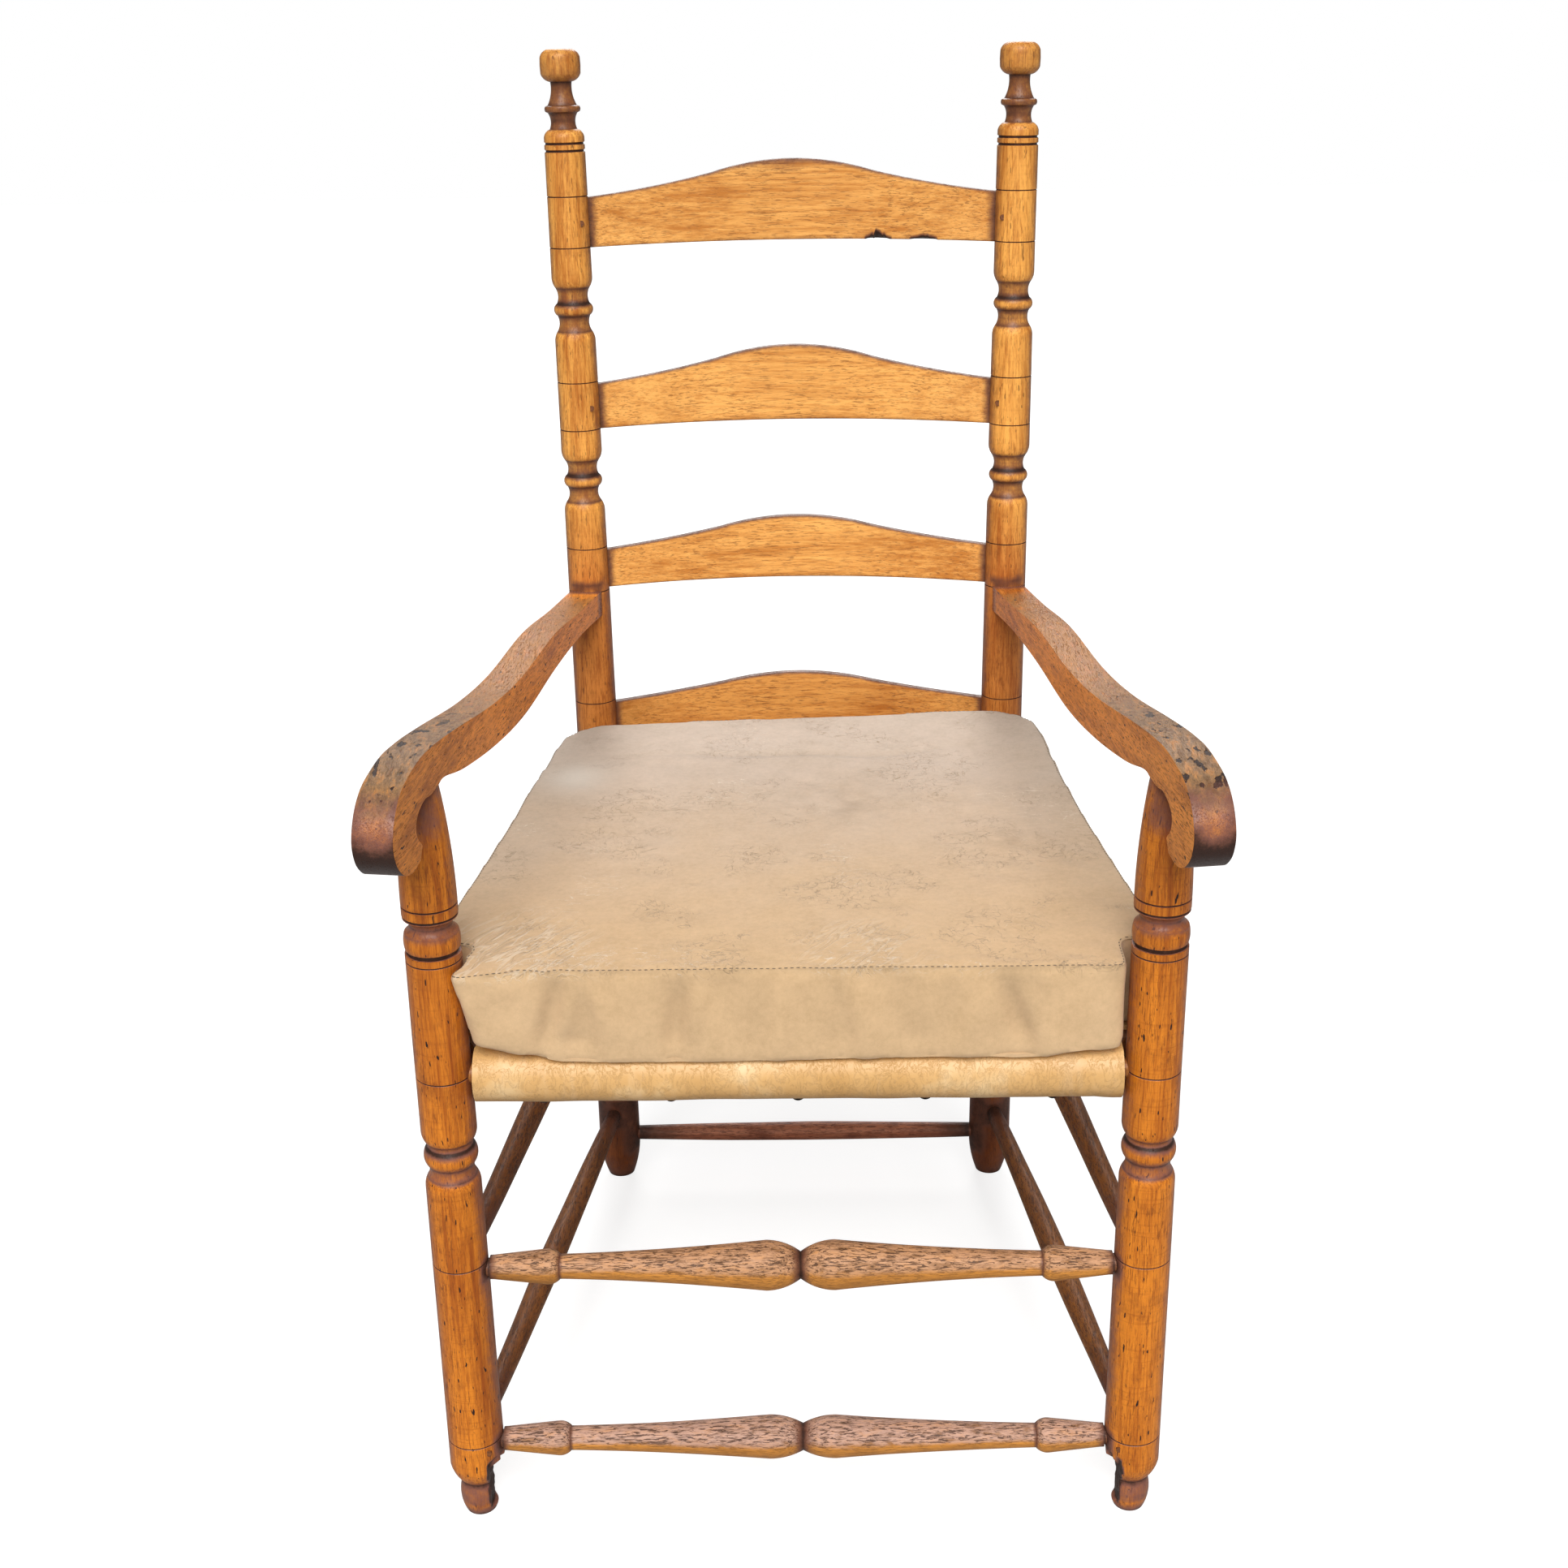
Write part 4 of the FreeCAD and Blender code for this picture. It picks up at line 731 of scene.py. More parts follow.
class ARMCHAIR_OT_posts(bpy.types.Operator):
    """Turn the four posts"""

    bl_idname = "armchair.posts"
    bl_label = "Posts"

    def execute(self, context):
        sizes, colours = context.scene.armchair_sizes, context.scene.armchair_colours
        # Back posts: the tints paint shade below the arms and the seat, deepest at the feet, which are also
        # dirty
        maple = wood_finish("Post_Maple", colours.maple_light, colours.maple_dark, colours, "Z",
                            pores=0.5, pits=0.5, age=0.45, turning=0.12,
                            shade_tints=((0.37, (0.26, 0.15, 0.13)), (0.45, (0.64, 0.47, 0.42)),
                                   (0.66, (0.7, 0.54, 0.48)), (0.74, (1, 1, 1))))
        # Front posts: their film takes the burnish colour, with its painted sheen
        ruddy = wood_finish("Front_Post_Maple", colours.front_light, colours.front_dark, colours, "Z",
                            pores=0.7, pits=1.0, age=0.75, film_colour=colours.burnish_and_sheen, turning=0.3)
        for hand, side in SIDES.items():
            lean = towards(back_spot(side, 0), back_spot(side, POST_LENGTH))
            shape = turned(back_post_profile(sizes), lean, seed=side * 3.1)
            self.darken(shape, side)
            add_piece(f"Back_Post_{hand}", shape, maple, f"back_post_{hand}")
            upright = Matrix.Translation(front_spot(side, 0))
            shape = turned(front_post_profile(sizes), upright, seed=side * 7.7)
            self.break_foot(shape, side)
            add_piece(f"Front_Post_{hand}", shape, ruddy, f"front_post_{hand}")
        return {"FINISHED"}

    def darken(self, shape, side):
        """Old dirt on a back post on its finial and where other pieces enter, and painted shade below the
        seat and on its flanks.
        """
        dirt = shape.verts.layers.float["grime"]
        for spot in shape.verts:
            height = spot.co.z
            # Painted shade below the seat
            low = 0.2 * ramped(SEAT_SHADE - height, 0, 0.1)
            axis = back_spot(side, height)
            ahead, inward = axis.y - spot.co.y, side * (axis.x - spot.co.x)
            ragged = noise.noise(spot.co * 90) * 10 * MM
            near = min(abs(height - back * MM) for _, back in SIDE_STRETCHERS.values()) + ragged
            mouth = ramped(ahead, -6 * MM, 12 * MM) * within(near, BACK_MOUTH)
            near = abs(height - BACK_STRETCHER * MM) + ragged
            behind = ramped(inward, -4 * MM, 12 * MM) * within(near, BACK_MOUTH)
            near = abs(height - ARM_ENTRY) + ragged * 0.6
            arm = ramped(ahead, 6 * MM, 16 * MM) * within(near, ARM_MOUTH)
            # Painted shade on the flanks, where the post turns away from the front
            flank_shade = 0.48 * ramped(abs(spot.co.x - axis.x), 10 * MM, 20 * MM)
            finial = (0.62 - 0.32 * ramped(height, *FINIAL_KNOB)) * ramped(height, *FINIAL_FOOT)
            spot[dirt] = max(spot[dirt], low, flank_shade, finial, 0.85 * mouth, 0.85 * behind, 0.75 * arm)
            spot.co.z = max(height, 0)

    def break_foot(self, shape, side):
        """Wood split off the inner side of a front foot, dark there with dirt and painted shade, and painted
        shade on the flanks and under the arm.
        """
        dirt = shape.verts.layers.float["grime"]
        for spot in shape.verts:
            inward = -side * (spot.co.x - side * FRONT_AXIS.x)
            ragged = noise.noise(spot.co * 160) * 1.6 * MM
            flat = SPLIT_FACE + ragged
            band = ramped(spot.co.z, 4 * MM, 7 * MM) * ramped(SPLIT_TOP + ragged * 4 - spot.co.z, 0, 2 * MM)
            # The split face is darkened: dirt with painted shade
            if inward > flat and band > 0:
                spot.co.x += side * (inward - flat) * 0.8 * band
                spot[dirt] = max(spot[dirt], band)
            foot = 0.6 * ramped(36 * MM - spot.co.z, 0, 6 * MM) * ramped(spot.co.z, 8 * MM, 14 * MM)
            # Painted shadow of the arm's scroll on the front of the post
            under = 0.55 * ramped(spot.co.z, 0.615, 0.645) * ramped(FRONT_AXIS.y - spot.co.y, 2 * MM, 12 * MM)
            # Painted shade on the flanks, where the post turns away from the front
            flank_shade = 0.46 * ramped(abs(inward), 12 * MM, 23 * MM)
            near = min(abs(spot.co.z - height * MM) for height, _, _ in FRONT_STRETCHERS.values())
            mouth = ramped(inward, 14 * MM, 21 * MM) * within(near, FRONT_MOUTH)
            spot[dirt] = max(spot[dirt], foot, under, flank_shade, 0.85 * mouth)


def slat_edge(share, end, rise):
    """Height of a slat's upper edge above its lower edge, from the middle, 0, to where it meets a post, 1."""
    if share >= 1:
        return end
    start = rise * CREST_RISE_SHARE
    if share > CREST_SHARE:
        along = (1 - share) / (1 - CREST_SHARE)
        return end + start * along - 4 * HOLLOW_SHARE * rise * along * (1 - along)
    along = share / CREST_SHARE
    return end + rise - (rise - start) * along ** 2


class ARMCHAIR_OT_slats(bpy.types.Operator):
    """Saw and bend the four slats"""

    bl_idname = "armchair.slats"
    bl_label = "Slats"

    def execute(self, context):
        sizes, colours = context.scene.armchair_sizes, context.scene.armchair_colours
        # Slats: the tints paint shade on the lower slats
        oak = wood_finish("Slat_Oak", colours.oak_light, colours.oak_dark, colours, "X",
                          pores=0.75, pits=0.15, age=0.2,
                          shade_tints=((0.57, (0.78, 0.7, 0.62)), (0.65, (1, 1, 1))))
        lean = math.atan2(BACK_HEAD.y - BACK_FOOT.y, BACK_HEAD.z)
        tip = Matrix.Translation((0, BACK_FOOT.y, 0)) @ Matrix.Rotation(-lean, 4, "X")
        for name, outline in SLATS.items():
            shape = self.sawn(outline, CHIPS if name == "top_slat" else (), sizes)
            bmesh.ops.transform(shape, matrix=tip, verts=shape.verts[:])
            add_piece(name.title(), shape, oak, name)
        return {"FINISHED"}

    def sawn(self, outline, chips, sizes):
        """Bent plank with a crest, chips off its lower front edge and rounded rims."""
        low, end, rise = outline
        axis = back_spot(1, (low + end / 2) * MM).x
        half, shore = axis - 6 * MM, axis - 20 * MM
        bend = (axis ** 2 + sizes.slat_bow ** 2) / (2 * sizes.slat_bow)
        shape = bmesh.new()
        dirt, chip = (shape.verts.layers.float.new(layer) for layer in ("grime", "chip"))
        bmesh.ops.create_grid(shape, x_segments=SLAT_COLUMNS, y_segments=SLAT_ROWS, size=1)
        for spot in shape.verts:
            across, up = spot.co.x * half, (spot.co.y + 1) / 2
            bottom = whole = UNDER_RISE * max(0, 1 - (across / shore) ** 2)
            for place, reach, height in chips:
                away = abs(across / MM - place) / reach
                if away < 1:
                    ragged = 0.75 + 0.5 * noise_at(across * 400)
                    bottom = max(bottom, UNDER_RISE * 0.7 + height * MM * ragged * (1 - away) ** 1.3)
                    spot[dirt] = max(spot[dirt], 1.2 - up * 14)
            spot[chip] = (bottom - whole) * (1 - up)
            top = slat_edge(abs(across) / shore, end, rise) * MM
            ripple = noise_at(across * 14, up, low * 0.1) * 0.5 * MM
            joint = min(1, max(0, (abs(across) / shore - 0.95) / 0.05))
            smudge = 0.4 * hump((across / MM + 15) / 42) * ramped(up, 0.72, 0.95) if chips else 0
            # Dark joints at the posts and a smudge, with painted shade along the upper and lower edges
            spot[dirt] = max(spot[dirt], 0.8 * joint, smudge, 0.75 * max(0, up * 20 - 19),
                             0.5 * max(0, 1 - up * 20))
            bow = math.sqrt(bend ** 2 - across ** 2) - bend + sizes.slat_bow
            spot.co = Vector((across, bow + ripple, low * MM + bottom + (top - bottom) * up))
        face_out(shape)
        bmesh.ops.translate(shape, verts=shape.verts[:], vec=(0, -sizes.slat_thickness / 2, 0))
        moved = extruded(shape, shape.faces[:])
        bmesh.ops.translate(shape, verts=moved, vec=(0, sizes.slat_thickness, 0))
        for spot in moved:
            spot.co.z -= spot[chip]
        face_out(shape)
        round_rims(shape, 50, 1.4 * MM, 2)
        return shape


class ARMCHAIR_OT_arms(bpy.types.Operator):
    """Saw and round the two scrolled arms"""

    bl_idname = "armchair.arms"
    bl_label = "Arms"

    def execute(self, context):
        sizes, colours = context.scene.armchair_sizes, context.scene.armchair_colours
        # Arms: their film takes the burnish colour, with its painted sheen
        maple = wood_finish("Arm_Maple", colours.arm_light, colours.arm_dark, colours, "Y",
                            pores=0.8, pits=1.0, age=0.6, flecks=0.3, film_colour=colours.burnish_and_sheen, dented=1.0)
        for hand, side in SIDES.items():
            back, front = back_spot(side, ARM_AXIS), front_spot(side, ARM_AXIS)
            turn = math.atan2(front.y - back.y, front.x - back.x)
            shape = self.sawn(sizes)
            self.handle(shape, sizes)
            bmesh.ops.transform(shape, verts=shape.verts[:], matrix=Matrix.Translation((back.x, back.y, 0))
                                @ Matrix.Rotation(turn, 4, "Z"))
            add_piece(f"Arm_{hand}", shape, maple, f"arm_{hand}")
        return {"FINISHED"}

    def sawn(self, sizes):
        """Plank cut to the arm's outline, with rounded rims."""
        outer, inner = (
            smooth_points([Vector((along * sizes.arm_reach, 0, sizes.arm_low + up * sizes.arm_rise))
                           for along, up in edge], ARM_STATIONS)
            for edge in zip(*ARM_PAIRS))
        shape = bmesh.new()
        bmesh.ops.create_grid(shape, x_segments=ARM_STATIONS - 1, y_segments=ARM_ROWS, size=1)
        for spot in shape.verts:
            station = round((spot.co.x + 1) / 2 * (ARM_STATIONS - 1))
            share = (spot.co.y + 1) / 2
            spot.co = outer[station].lerp(inner[station], share)
            spot.co.y = -sizes.arm_thickness / 2
        moved = extruded(shape, shape.faces[:])
        bmesh.ops.translate(shape, verts=moved, vec=(0, sizes.arm_thickness, 0))
        across = [edge for edge in shape.edges if abs(edge.verts[0].co.y - edge.verts[1].co.y) > MM]
        bmesh.ops.subdivide_edges(shape, edges=across, cuts=ARM_CUTS, use_grid_fill=True)
        face_out(shape)
        round_rims(shape, 60, sizes.arm_round, 4)
        return shape

    def handle(self, shape, sizes):
        """Bare wood along the top; dirt on the scroll with a painted highlight, on its rims and at the back
        post; painted shade below and in the curl.
        """
        worn, dirt = (shape.verts.layers.float.new(name) for name in ("worn", "grime"))
        shape.normal_update()
        for spot in shape.verts:
            facing, share = spot.normal, spot.co.x / sizes.arm_reach
            upper = ramped(facing.z, 0.3, 0.85)
            spot[worn] = upper * (0.62 * ramped(share, 0.02, 0.1) + 0.26 * ramped(share, 0.45, 0.86))
            ahead = ramped(facing.x, 0.1, 0.75) * ramped(share, 0.84, 0.93)
            low = (spot.co.z - sizes.arm_low) / sizes.arm_rise
            # Painted shade inside the scroll's curl
            hollow_shade = ramped(-facing.x, 0.3, 0.8) * ramped(share, 0.87, 0.9)
            # Less dirt down the middle of the scroll's front paints a highlight there; the scroll darkens
            # towards its bottom
            middle = 1 - (2 * spot.co.y / sizes.arm_thickness) ** 2
            front = 0.7 + 0.5 * ramped(0.7 - low, 0, 0.5) - 0.22 * middle * ramped(low, 0.2, 0.5)
            rim = 1 - max(abs(facing.y), math.hypot(facing.x, facing.z))
            # Dirt, with painted shade inside the curl and on the underside
            spot[dirt] = max(ahead * front, 0.8 * ramped(0.05 - share, 0, 0.025), 0.8 * hollow_shade,
                             0.5 * ramped(-facing.z, 0.6, 0.9), (0.24 + 0.7 * ahead) * ramped(rim, 0.1, 0.28))


def front_stretcher_profile(length, bulb, ring):
    """Ends that widen to a ring and step down, then long bulbs that meet at the pinch in the middle."""
    half = length / 2
    mouth, ring_at, neck = 23.9 * MM, 70 * MM, 10.1 * MM
    outline = Profile(0, TENON_END).run(TENON_RADIUS, TENON_END).run(TENON_RADIUS, mouth, 1.0)
    outline.run(9.8 * MM, mouth + 0.1 * MM, 0.9).run(9.9 * MM, mouth + 3 * MM, 0.5).run(ring, ring_at)
    outline.arc(neck + (ring - neck) * 0.86, neck, ring_at + 11 * MM, 0.0, 0.75)
    outline.run(neck, ring_at + 14 * MM, 0.1)
    outline.arc(neck + (bulb - neck) * 0.35, bulb, half - 28 * MM, 0.0, 0.0)
    outline.arc(11.5 * MM + (bulb - 11.5 * MM) * 0.75, 11 * MM, half, 0.05, 1.0)
    for radius, height, grime in reversed(outline.points[:-1]):
        outline.points.append((radius, length - height, grime))
    return outline


def plain_stretcher_profile(length, radius):
    """Round rod that swells gently between its tenons."""
    mouth = 23 * MM
    swell = TENON_RADIUS + (radius - TENON_RADIUS) * 0.65
    return (Profile(0, TENON_END).run(TENON_RADIUS, TENON_END).run(TENON_RADIUS, mouth, 1.0)
            .arc(swell, radius, length / 2, 0.0, 0.0).arc(swell, TENON_RADIUS, length - mouth, 0.0, 1.0)
            .run(TENON_RADIUS, length - TENON_END).run(0, length - TENON_END))


class ARMCHAIR_OT_stretchers(bpy.types.Operator):
    """Turn the seven stretchers"""

    bl_idname = "armchair.stretchers"
    bl_label = "Stretchers"

    def execute(self, context):
        colours = context.scene.armchair_colours
        dark = blended(colours.turned_light, colours.pore, 0.5)
        # Sheens: painted sheen on the upper sides, a colour for each level
        sheens = {"upper": (0.57, 0.32, 0.19), "lower": (0.53, 0.34, 0.28)}
        for level, (height, bulb, ring) in FRONT_STRETCHERS.items():
            oak = wood_finish(f"Front_Stretcher_{level.title()}_Oak", colours.turned_light, dark, colours,
                              "X", pores=0.6, pits=0.25, age=0.4, flecks=0.95, bare_and_sheen_colour=sheens[level])
            start, end = front_spot(-1, height * MM), front_spot(1, height * MM)
            profile = front_stretcher_profile((end - start).length, bulb * MM, ring * MM)
            shape = turned(profile, towards(start, end), 0.5 * MM, height)
            self.wear(shape, 0.85)
            add_piece(f"Front_Stretcher_{level}", shape, oak, f"front_stretcher_{level}")
        old = blended(colours.oak_dark, colours.pore, 0.25), blended(colours.oak_dark, colours.pore, 0.85)
        wood = wood_finish("Side_Stretcher_Wood", *old, colours, "Y", pores=0.9, pits=0.8, age=0.9,
                           flecks=0.95, bare_and_sheen_colour=(0.2, 0.062, 0.014))
        for hand, side in SIDES.items():
            for level, (front, back) in SIDE_STRETCHERS.items():
                start, end = front_spot(side, front * MM), back_spot(side, back * MM)
                shape = self.rod(start, end, 11.5 * MM, front + side)
                add_piece(f"Side_Stretcher_{hand}_{level}", shape, wood,
                          f"side_stretcher_{hand}_{level}")
        # Back stretcher: colours raised to paint light into the seat's shadow, and a painted highlight along
        # its upper side
        ruddy = (0.5, 0.17, 0.085), (0.22, 0.06, 0.03)
        wood = wood_finish("Back_Stretcher_Wood", *ruddy, colours, "X", pores=0.9, pits=0.6, age=0.9,
                           flecks=0.8, bare_and_sheen_colour=(0.75, 0.31, 0.18))
        height = BACK_STRETCHER * MM
        shape = self.rod(back_spot(-1, height), back_spot(1, height), 10 * MM, 5)
        add_piece("Back_Stretcher", shape, wood, "back_stretcher")
        return {"FINISHED"}

    def rod(self, start, end, radius, seed):
        """Plain stretcher between two posts."""
        profile = plain_stretcher_profile((end - start).length, radius)
        shape = turned(profile, towards(start, end), 0.8 * MM, seed)
        self.wear(shape, 0.6)
        return shape

    def wear(self, shape, most):
        """Upper side: painted sheen on the front and back stretchers, and dulled, marked wood."""
        worn = shape.verts.layers.float.new("worn")
        face_out(shape)
        shape.normal_update()
        for spot in shape.verts:
            spot[worn] = most * ramped(spot.normal.z, -0.25, 0.45)


def seat_corners(height):
    """Post axes at the seat rails, round the seat from the front left."""
    return [front_spot(-1, height), front_spot(1, height), back_spot(1, height), back_spot(-1, height)]


class ARMCHAIR_OT_rails(bpy.types.Operator):
    """Turn the four seat rails"""

    bl_idname = "armchair.rails"
    bl_label = "Seat rails"

    def execute(self, context):
        sizes, colours = context.scene.armchair_sizes, context.scene.armchair_colours
        old = blended(colours.oak_dark, colours.pore, 0.2), blended(colours.oak_dark, colours.pore, 0.6)
        corners = seat_corners(sizes.rail_height)
        for index, node in enumerate(RAILS):
            start, end = corners[index], corners[(index + 1) % len(corners)]
            wood = wood_finish(f"{node.title()}_Wood", *old, colours, "XY"[index % 2],
                               pores=0.6, pits=0.5, age=0.8)
            length, shoulder = (end - start).length, RAIL_MOUTH + 0.5 * MM
            profile = Profile(0, RAIL_TENON_END).run(RAIL_TENON, RAIL_TENON_END)
            profile.run(RAIL_TENON, RAIL_MOUTH, 0.8).run(sizes.rail_radius, shoulder, 0.5)
            profile.run(sizes.rail_radius, length - shoulder, 0.5).run(RAIL_TENON, length - RAIL_MOUTH, 0.8)
            profile.run(RAIL_TENON, length - RAIL_TENON_END).run(0, length - RAIL_TENON_END)
            shape = turned(profile, towards(start, end), 0.15 * MM, index)
            add_piece(node.title(), shape, wood, node)
        return {"FINISHED"}


class ARMCHAIR_OT_pegs(bpy.types.Operator):
    """Finish the pegs and the tacks"""

    bl_idname = "armchair.pegs"
    bl_label = "Pegs and tacks"

    def execute(self, context):
        colours = context.scene.armchair_colours
        peg = peg_finish(colours)
        for node in ("slat_pegs", "arm_pegs", "stretcher_pegs"):
            set_finish(node, peg)
        set_finish("leather_tacks", iron_finish(colours))
        return {"FINISHED"}


class ARMCHAIR_OT_seat_leather(bpy.types.Operator):
    """Draw the leather over the rails"""

    bl_idname = "armchair.seat_leather"
    bl_label = "Leather seat"

    def execute(self, context):
        sizes, colours = context.scene.armchair_sizes, context.scene.armchair_colours
        corners = seat_corners(sizes.rail_height)
        rise = sizes.rail_radius + 0.3 * MM + sizes.leather_thickness / 2
        shape = bmesh.new()
        dirt = shape.verts.layers.float.new("grime")
        ring, sides = [], []
        for index, corner in enumerate(corners):
            following = corners[(index + 1) % len(corners)]
            run, before = (following - corner).normalized(), (corners[index - 1] - corner).normalized()
            ring.append(shape.verts.new(corner + (before + run) * LEATHER_INSET + UP * rise))
            start, end = corner + run * LEATHER_INSET, following - run * LEATHER_INSET
            ring += [shape.verts.new(start.lerp(end, step / LEATHER_COLUMNS) + UP * rise)
                     for step in range(LEATHER_COLUMNS + 1)]
            sides.append((corner, run))
        shape.faces.new(ring)
        for corner, run in sides:
            raised = corner + UP * rise
            edges = [edge for edge in shape.edges if edge.is_boundary
                     and all((spot.co - raised).cross(run).length < 0.1 * MM for spot in edge.verts)]
            ends = list({spot for edge in edges for spot in edge.verts})
            bmesh.ops.spin(shape, geom=ends + edges, cent=corner, axis=run, angle=LEATHER_TURN,
                           steps=LEATHER_STEPS, use_merge=False, use_duplicate=False)
        bmesh.ops.remove_doubles(shape, verts=shape.verts[:], dist=0.05 * MM)
        bmesh.ops.triangulate(shape, faces=[face for face in shape.faces if len(face.verts) > 4])
        area = sum(face.calc_area() for face in shape.faces)
        for spot in shape.verts:
            if spot.co.z > sizes.rail_height + rise - MM:
                continue
            lap = ramped(spot.co.x, 236 * MM, 238 * MM) if spot.co.y < FRONT_AXIS.y else 0
            spot.co += spot.normal * (noise.noise(spot.co * 28) * 0.8 * MM + lap * 1.3 * MM)
            # Darker towards the underside of the rolls: painted shade
            spot[dirt] = 0.5 * max(0, (sizes.rail_height - 8 * MM - spot.co.z) / rise)
        face_out(shape)
        bmesh.ops.solidify(shape, geom=shape.faces[:], thickness=sizes.leather_thickness)
        hide = add_piece("Seat_Leather", shape, hide_finish(colours), "seat_leather")
        return {"FINISHED"}


# Corners of the cushion's plan, right half, from the front to the back, in millimetres
CUSHION_PLAN = ((250.1, -268.1), (250.1, -222), (277, -222), (277, -170), (252, 23.6), (233, 219), (228, 238),
                (216, 254), (200, 264), (182, 269))
# Folds of the cushion's front band: place across, half width, depth and lean
FOLDS = ((-197, 8, 5, 0.25), (-154, 9, 3.5, -0.2), (-96, 8, 4.5, 0.15), (-30, 10, 2.2, 0.1),
         (38, 9, 3.2, -0.1), (112, 11, 2.4, 0.15), (177, 8, 4.5, -0.3))
# Patches of the cushion's top: place across and along, and reach both ways
RUCKED_CORNER = (-0.2, -0.25, 0.04, 0.03)
RUBBED_PATCH = (-0.205, 0.118, 26 * MM, 34 * MM)
PALE_STAIN, DARK_STAIN = (0.037, 0.05, 0.05, 0.045), (0.175, -0.03, 0.018, 0.02)
BACK_CREASE, CREASE_WIDTH = 0.172, 7 * MM
# Pinch of the front band: place across and up, and reach both ways
FRONT_PINCH = (0.163, 8 * MM, 14 * MM, 26 * MM)
SEAM_WIDTH, PUCKER_PLACE, PUCKER_WIDTH = 2.4 * MM, 12 * MM, 10 * MM
STITCH_PITCH, STITCH_LENGTH, STITCH_INSET = 4.6 * MM, 3.3 * MM, 2.2 * MM
# Stuffing: size of the cover's mesh, pressure, steps of the simulation, and how far sides and top may swell
COVER_VOXEL, STUFFING, STUFFING_STEPS = 6 * MM, 4, 20
SIDE_SWELL, TOP_SWELL = 6 * MM, 13 * MM
# Seams behind the front corners are evened within this reach
HEM_REACH, HEM_START, HEM_ROUNDS = 9 * MM, -0.2, 4


def patch(across, along, spread):
    """1 in the middle of a patch, falling off with its reach both ways."""
    middle, far, width, depth = spread
    return hump((across - middle) / width, (along - far) / depth)


def cushion_outline(step=4 * MM, rounds=5):
    """Closed, rounded plan of the cushion, anticlockwise from above."""
    half = [Vector((x * MM, y * MM)) for x, y in CUSHION_PLAN]
    corners = half + [Vector((-spot.x, spot.y)) for spot in reversed(half)]
    path = []
    for corner, following in zip(corners, corners[1:] + corners[:1]):
        count = max(1, round((following - corner).length / step))
        path += [corner.lerp(following, index / count) for index in range(count)]
    for _ in range(rounds):
        path = [(before + spot * 2 + after) / 4
                for before, spot, after in zip(path[-1:] + path[:-1], path, path[1:] + path[:1])]
    return path


def seam_lines(sizes, low):
    """The cushion's lower and upper seams."""
    lower, upper = [], []
    for spot in cushion_outline():
        ahead = ramped(-spot.y, 225 * MM, 262 * MM)
        curl = (10 if spot.x < 0 else 6) * MM * ahead * ramped(abs(spot.x), 170 * MM, 250 * MM)
        lower.append(Vector((spot.x, spot.y, low + curl)))
        ear = ahead * ramped(-spot.x, 205 * MM, 250 * MM)
        tilt = (6 * spot.x / 0.2 + 2) * MM * ramped(spot.y, 0.05, 0.26)
        upper.append(Vector((spot.x - 13 * MM * ear, spot.y - 7 * MM * ear,
                             low + sizes.cushion_height + tilt - 2 * MM * ear)))
    return lower, upper


def near_line(line):
    """Search tree over a seam's places, filled in between."""
    spots = []
    for place, following in zip(line, line[1:] + line[:1]):
        spots += [place.lerp(following, share / 3) for share in range(3)]
    tree = KDTree(len(spots))
    for index, spot in enumerate(spots):
        tree.insert(spot, index)
    tree.balance()
    return tree


def settled_mesh(item):
    """Mesh of an object as its modifiers leave it."""
    return bpy.data.meshes.new_from_object(item.evaluated_get(bpy.context.evaluated_depsgraph_get()))


def stuffed(shape, seams):
    """Swells a closed shape between its sewn seams, no point further than its side may, and smooths it."""
    mesh = bpy.data.meshes.new("Filling")
    shape.to_mesh(mesh)
    shape.free()
    cover = bpy.data.objects.new("Filling", mesh)
    scene = bpy.context.scene
    scene.collection.objects.link(cover)
    remesh = cover.modifiers.new("Remesh", "REMESH")
    remesh.mode, remesh.voxel_size = "VOXEL", COVER_VOXEL
    even = settled_mesh(cover)
    cover.modifiers.clear()
    cover.data = even
    sewn = []
    for spot in even.vertices:
        place, _, away = min((tree.find(spot.co) for tree in seams), key=lambda found: found[2])
        if away < 0.85 * COVER_VOXEL:
            spot.co = place
            sewn.append(spot.index)
    cover.vertex_groups.new(name="Seams").add(sewn, 1, "REPLACE")
    cloth = cover.modifiers.new("Cloth", "CLOTH")
    cloth.settings.use_pressure = True
    cloth.settings.uniform_pressure_force = STUFFING
    cloth.settings.effector_weights.gravity = 0
    cloth.settings.vertex_group_mass = "Seams"
    cloth.point_cache.frame_start, cloth.point_cache.frame_end = 1, STUFFING_STEPS
    for step in range(1, STUFFING_STEPS + 1):
        scene.frame_set(step)
    swelled = settled_mesh(cover)
    cover.modifiers.clear()
    scene.frame_set(1)
    for spot, grown in zip(even.vertices, swelled.vertices):
        move = grown.co - spot.co
        cap = SIDE_SWELL + (TOP_SWELL - SIDE_SWELL) * max(0, spot.normal.z)
        spot.co += move.normalized() * min(move.length, cap)
    smooth = cover.modifiers.new("Smooth", "SUBSURF")
    smooth.levels = smooth.render_levels = 1
    made = bmesh.new()
    made.from_mesh(settled_mesh(cover))
    bpy.data.objects.remove(cover)
    return made


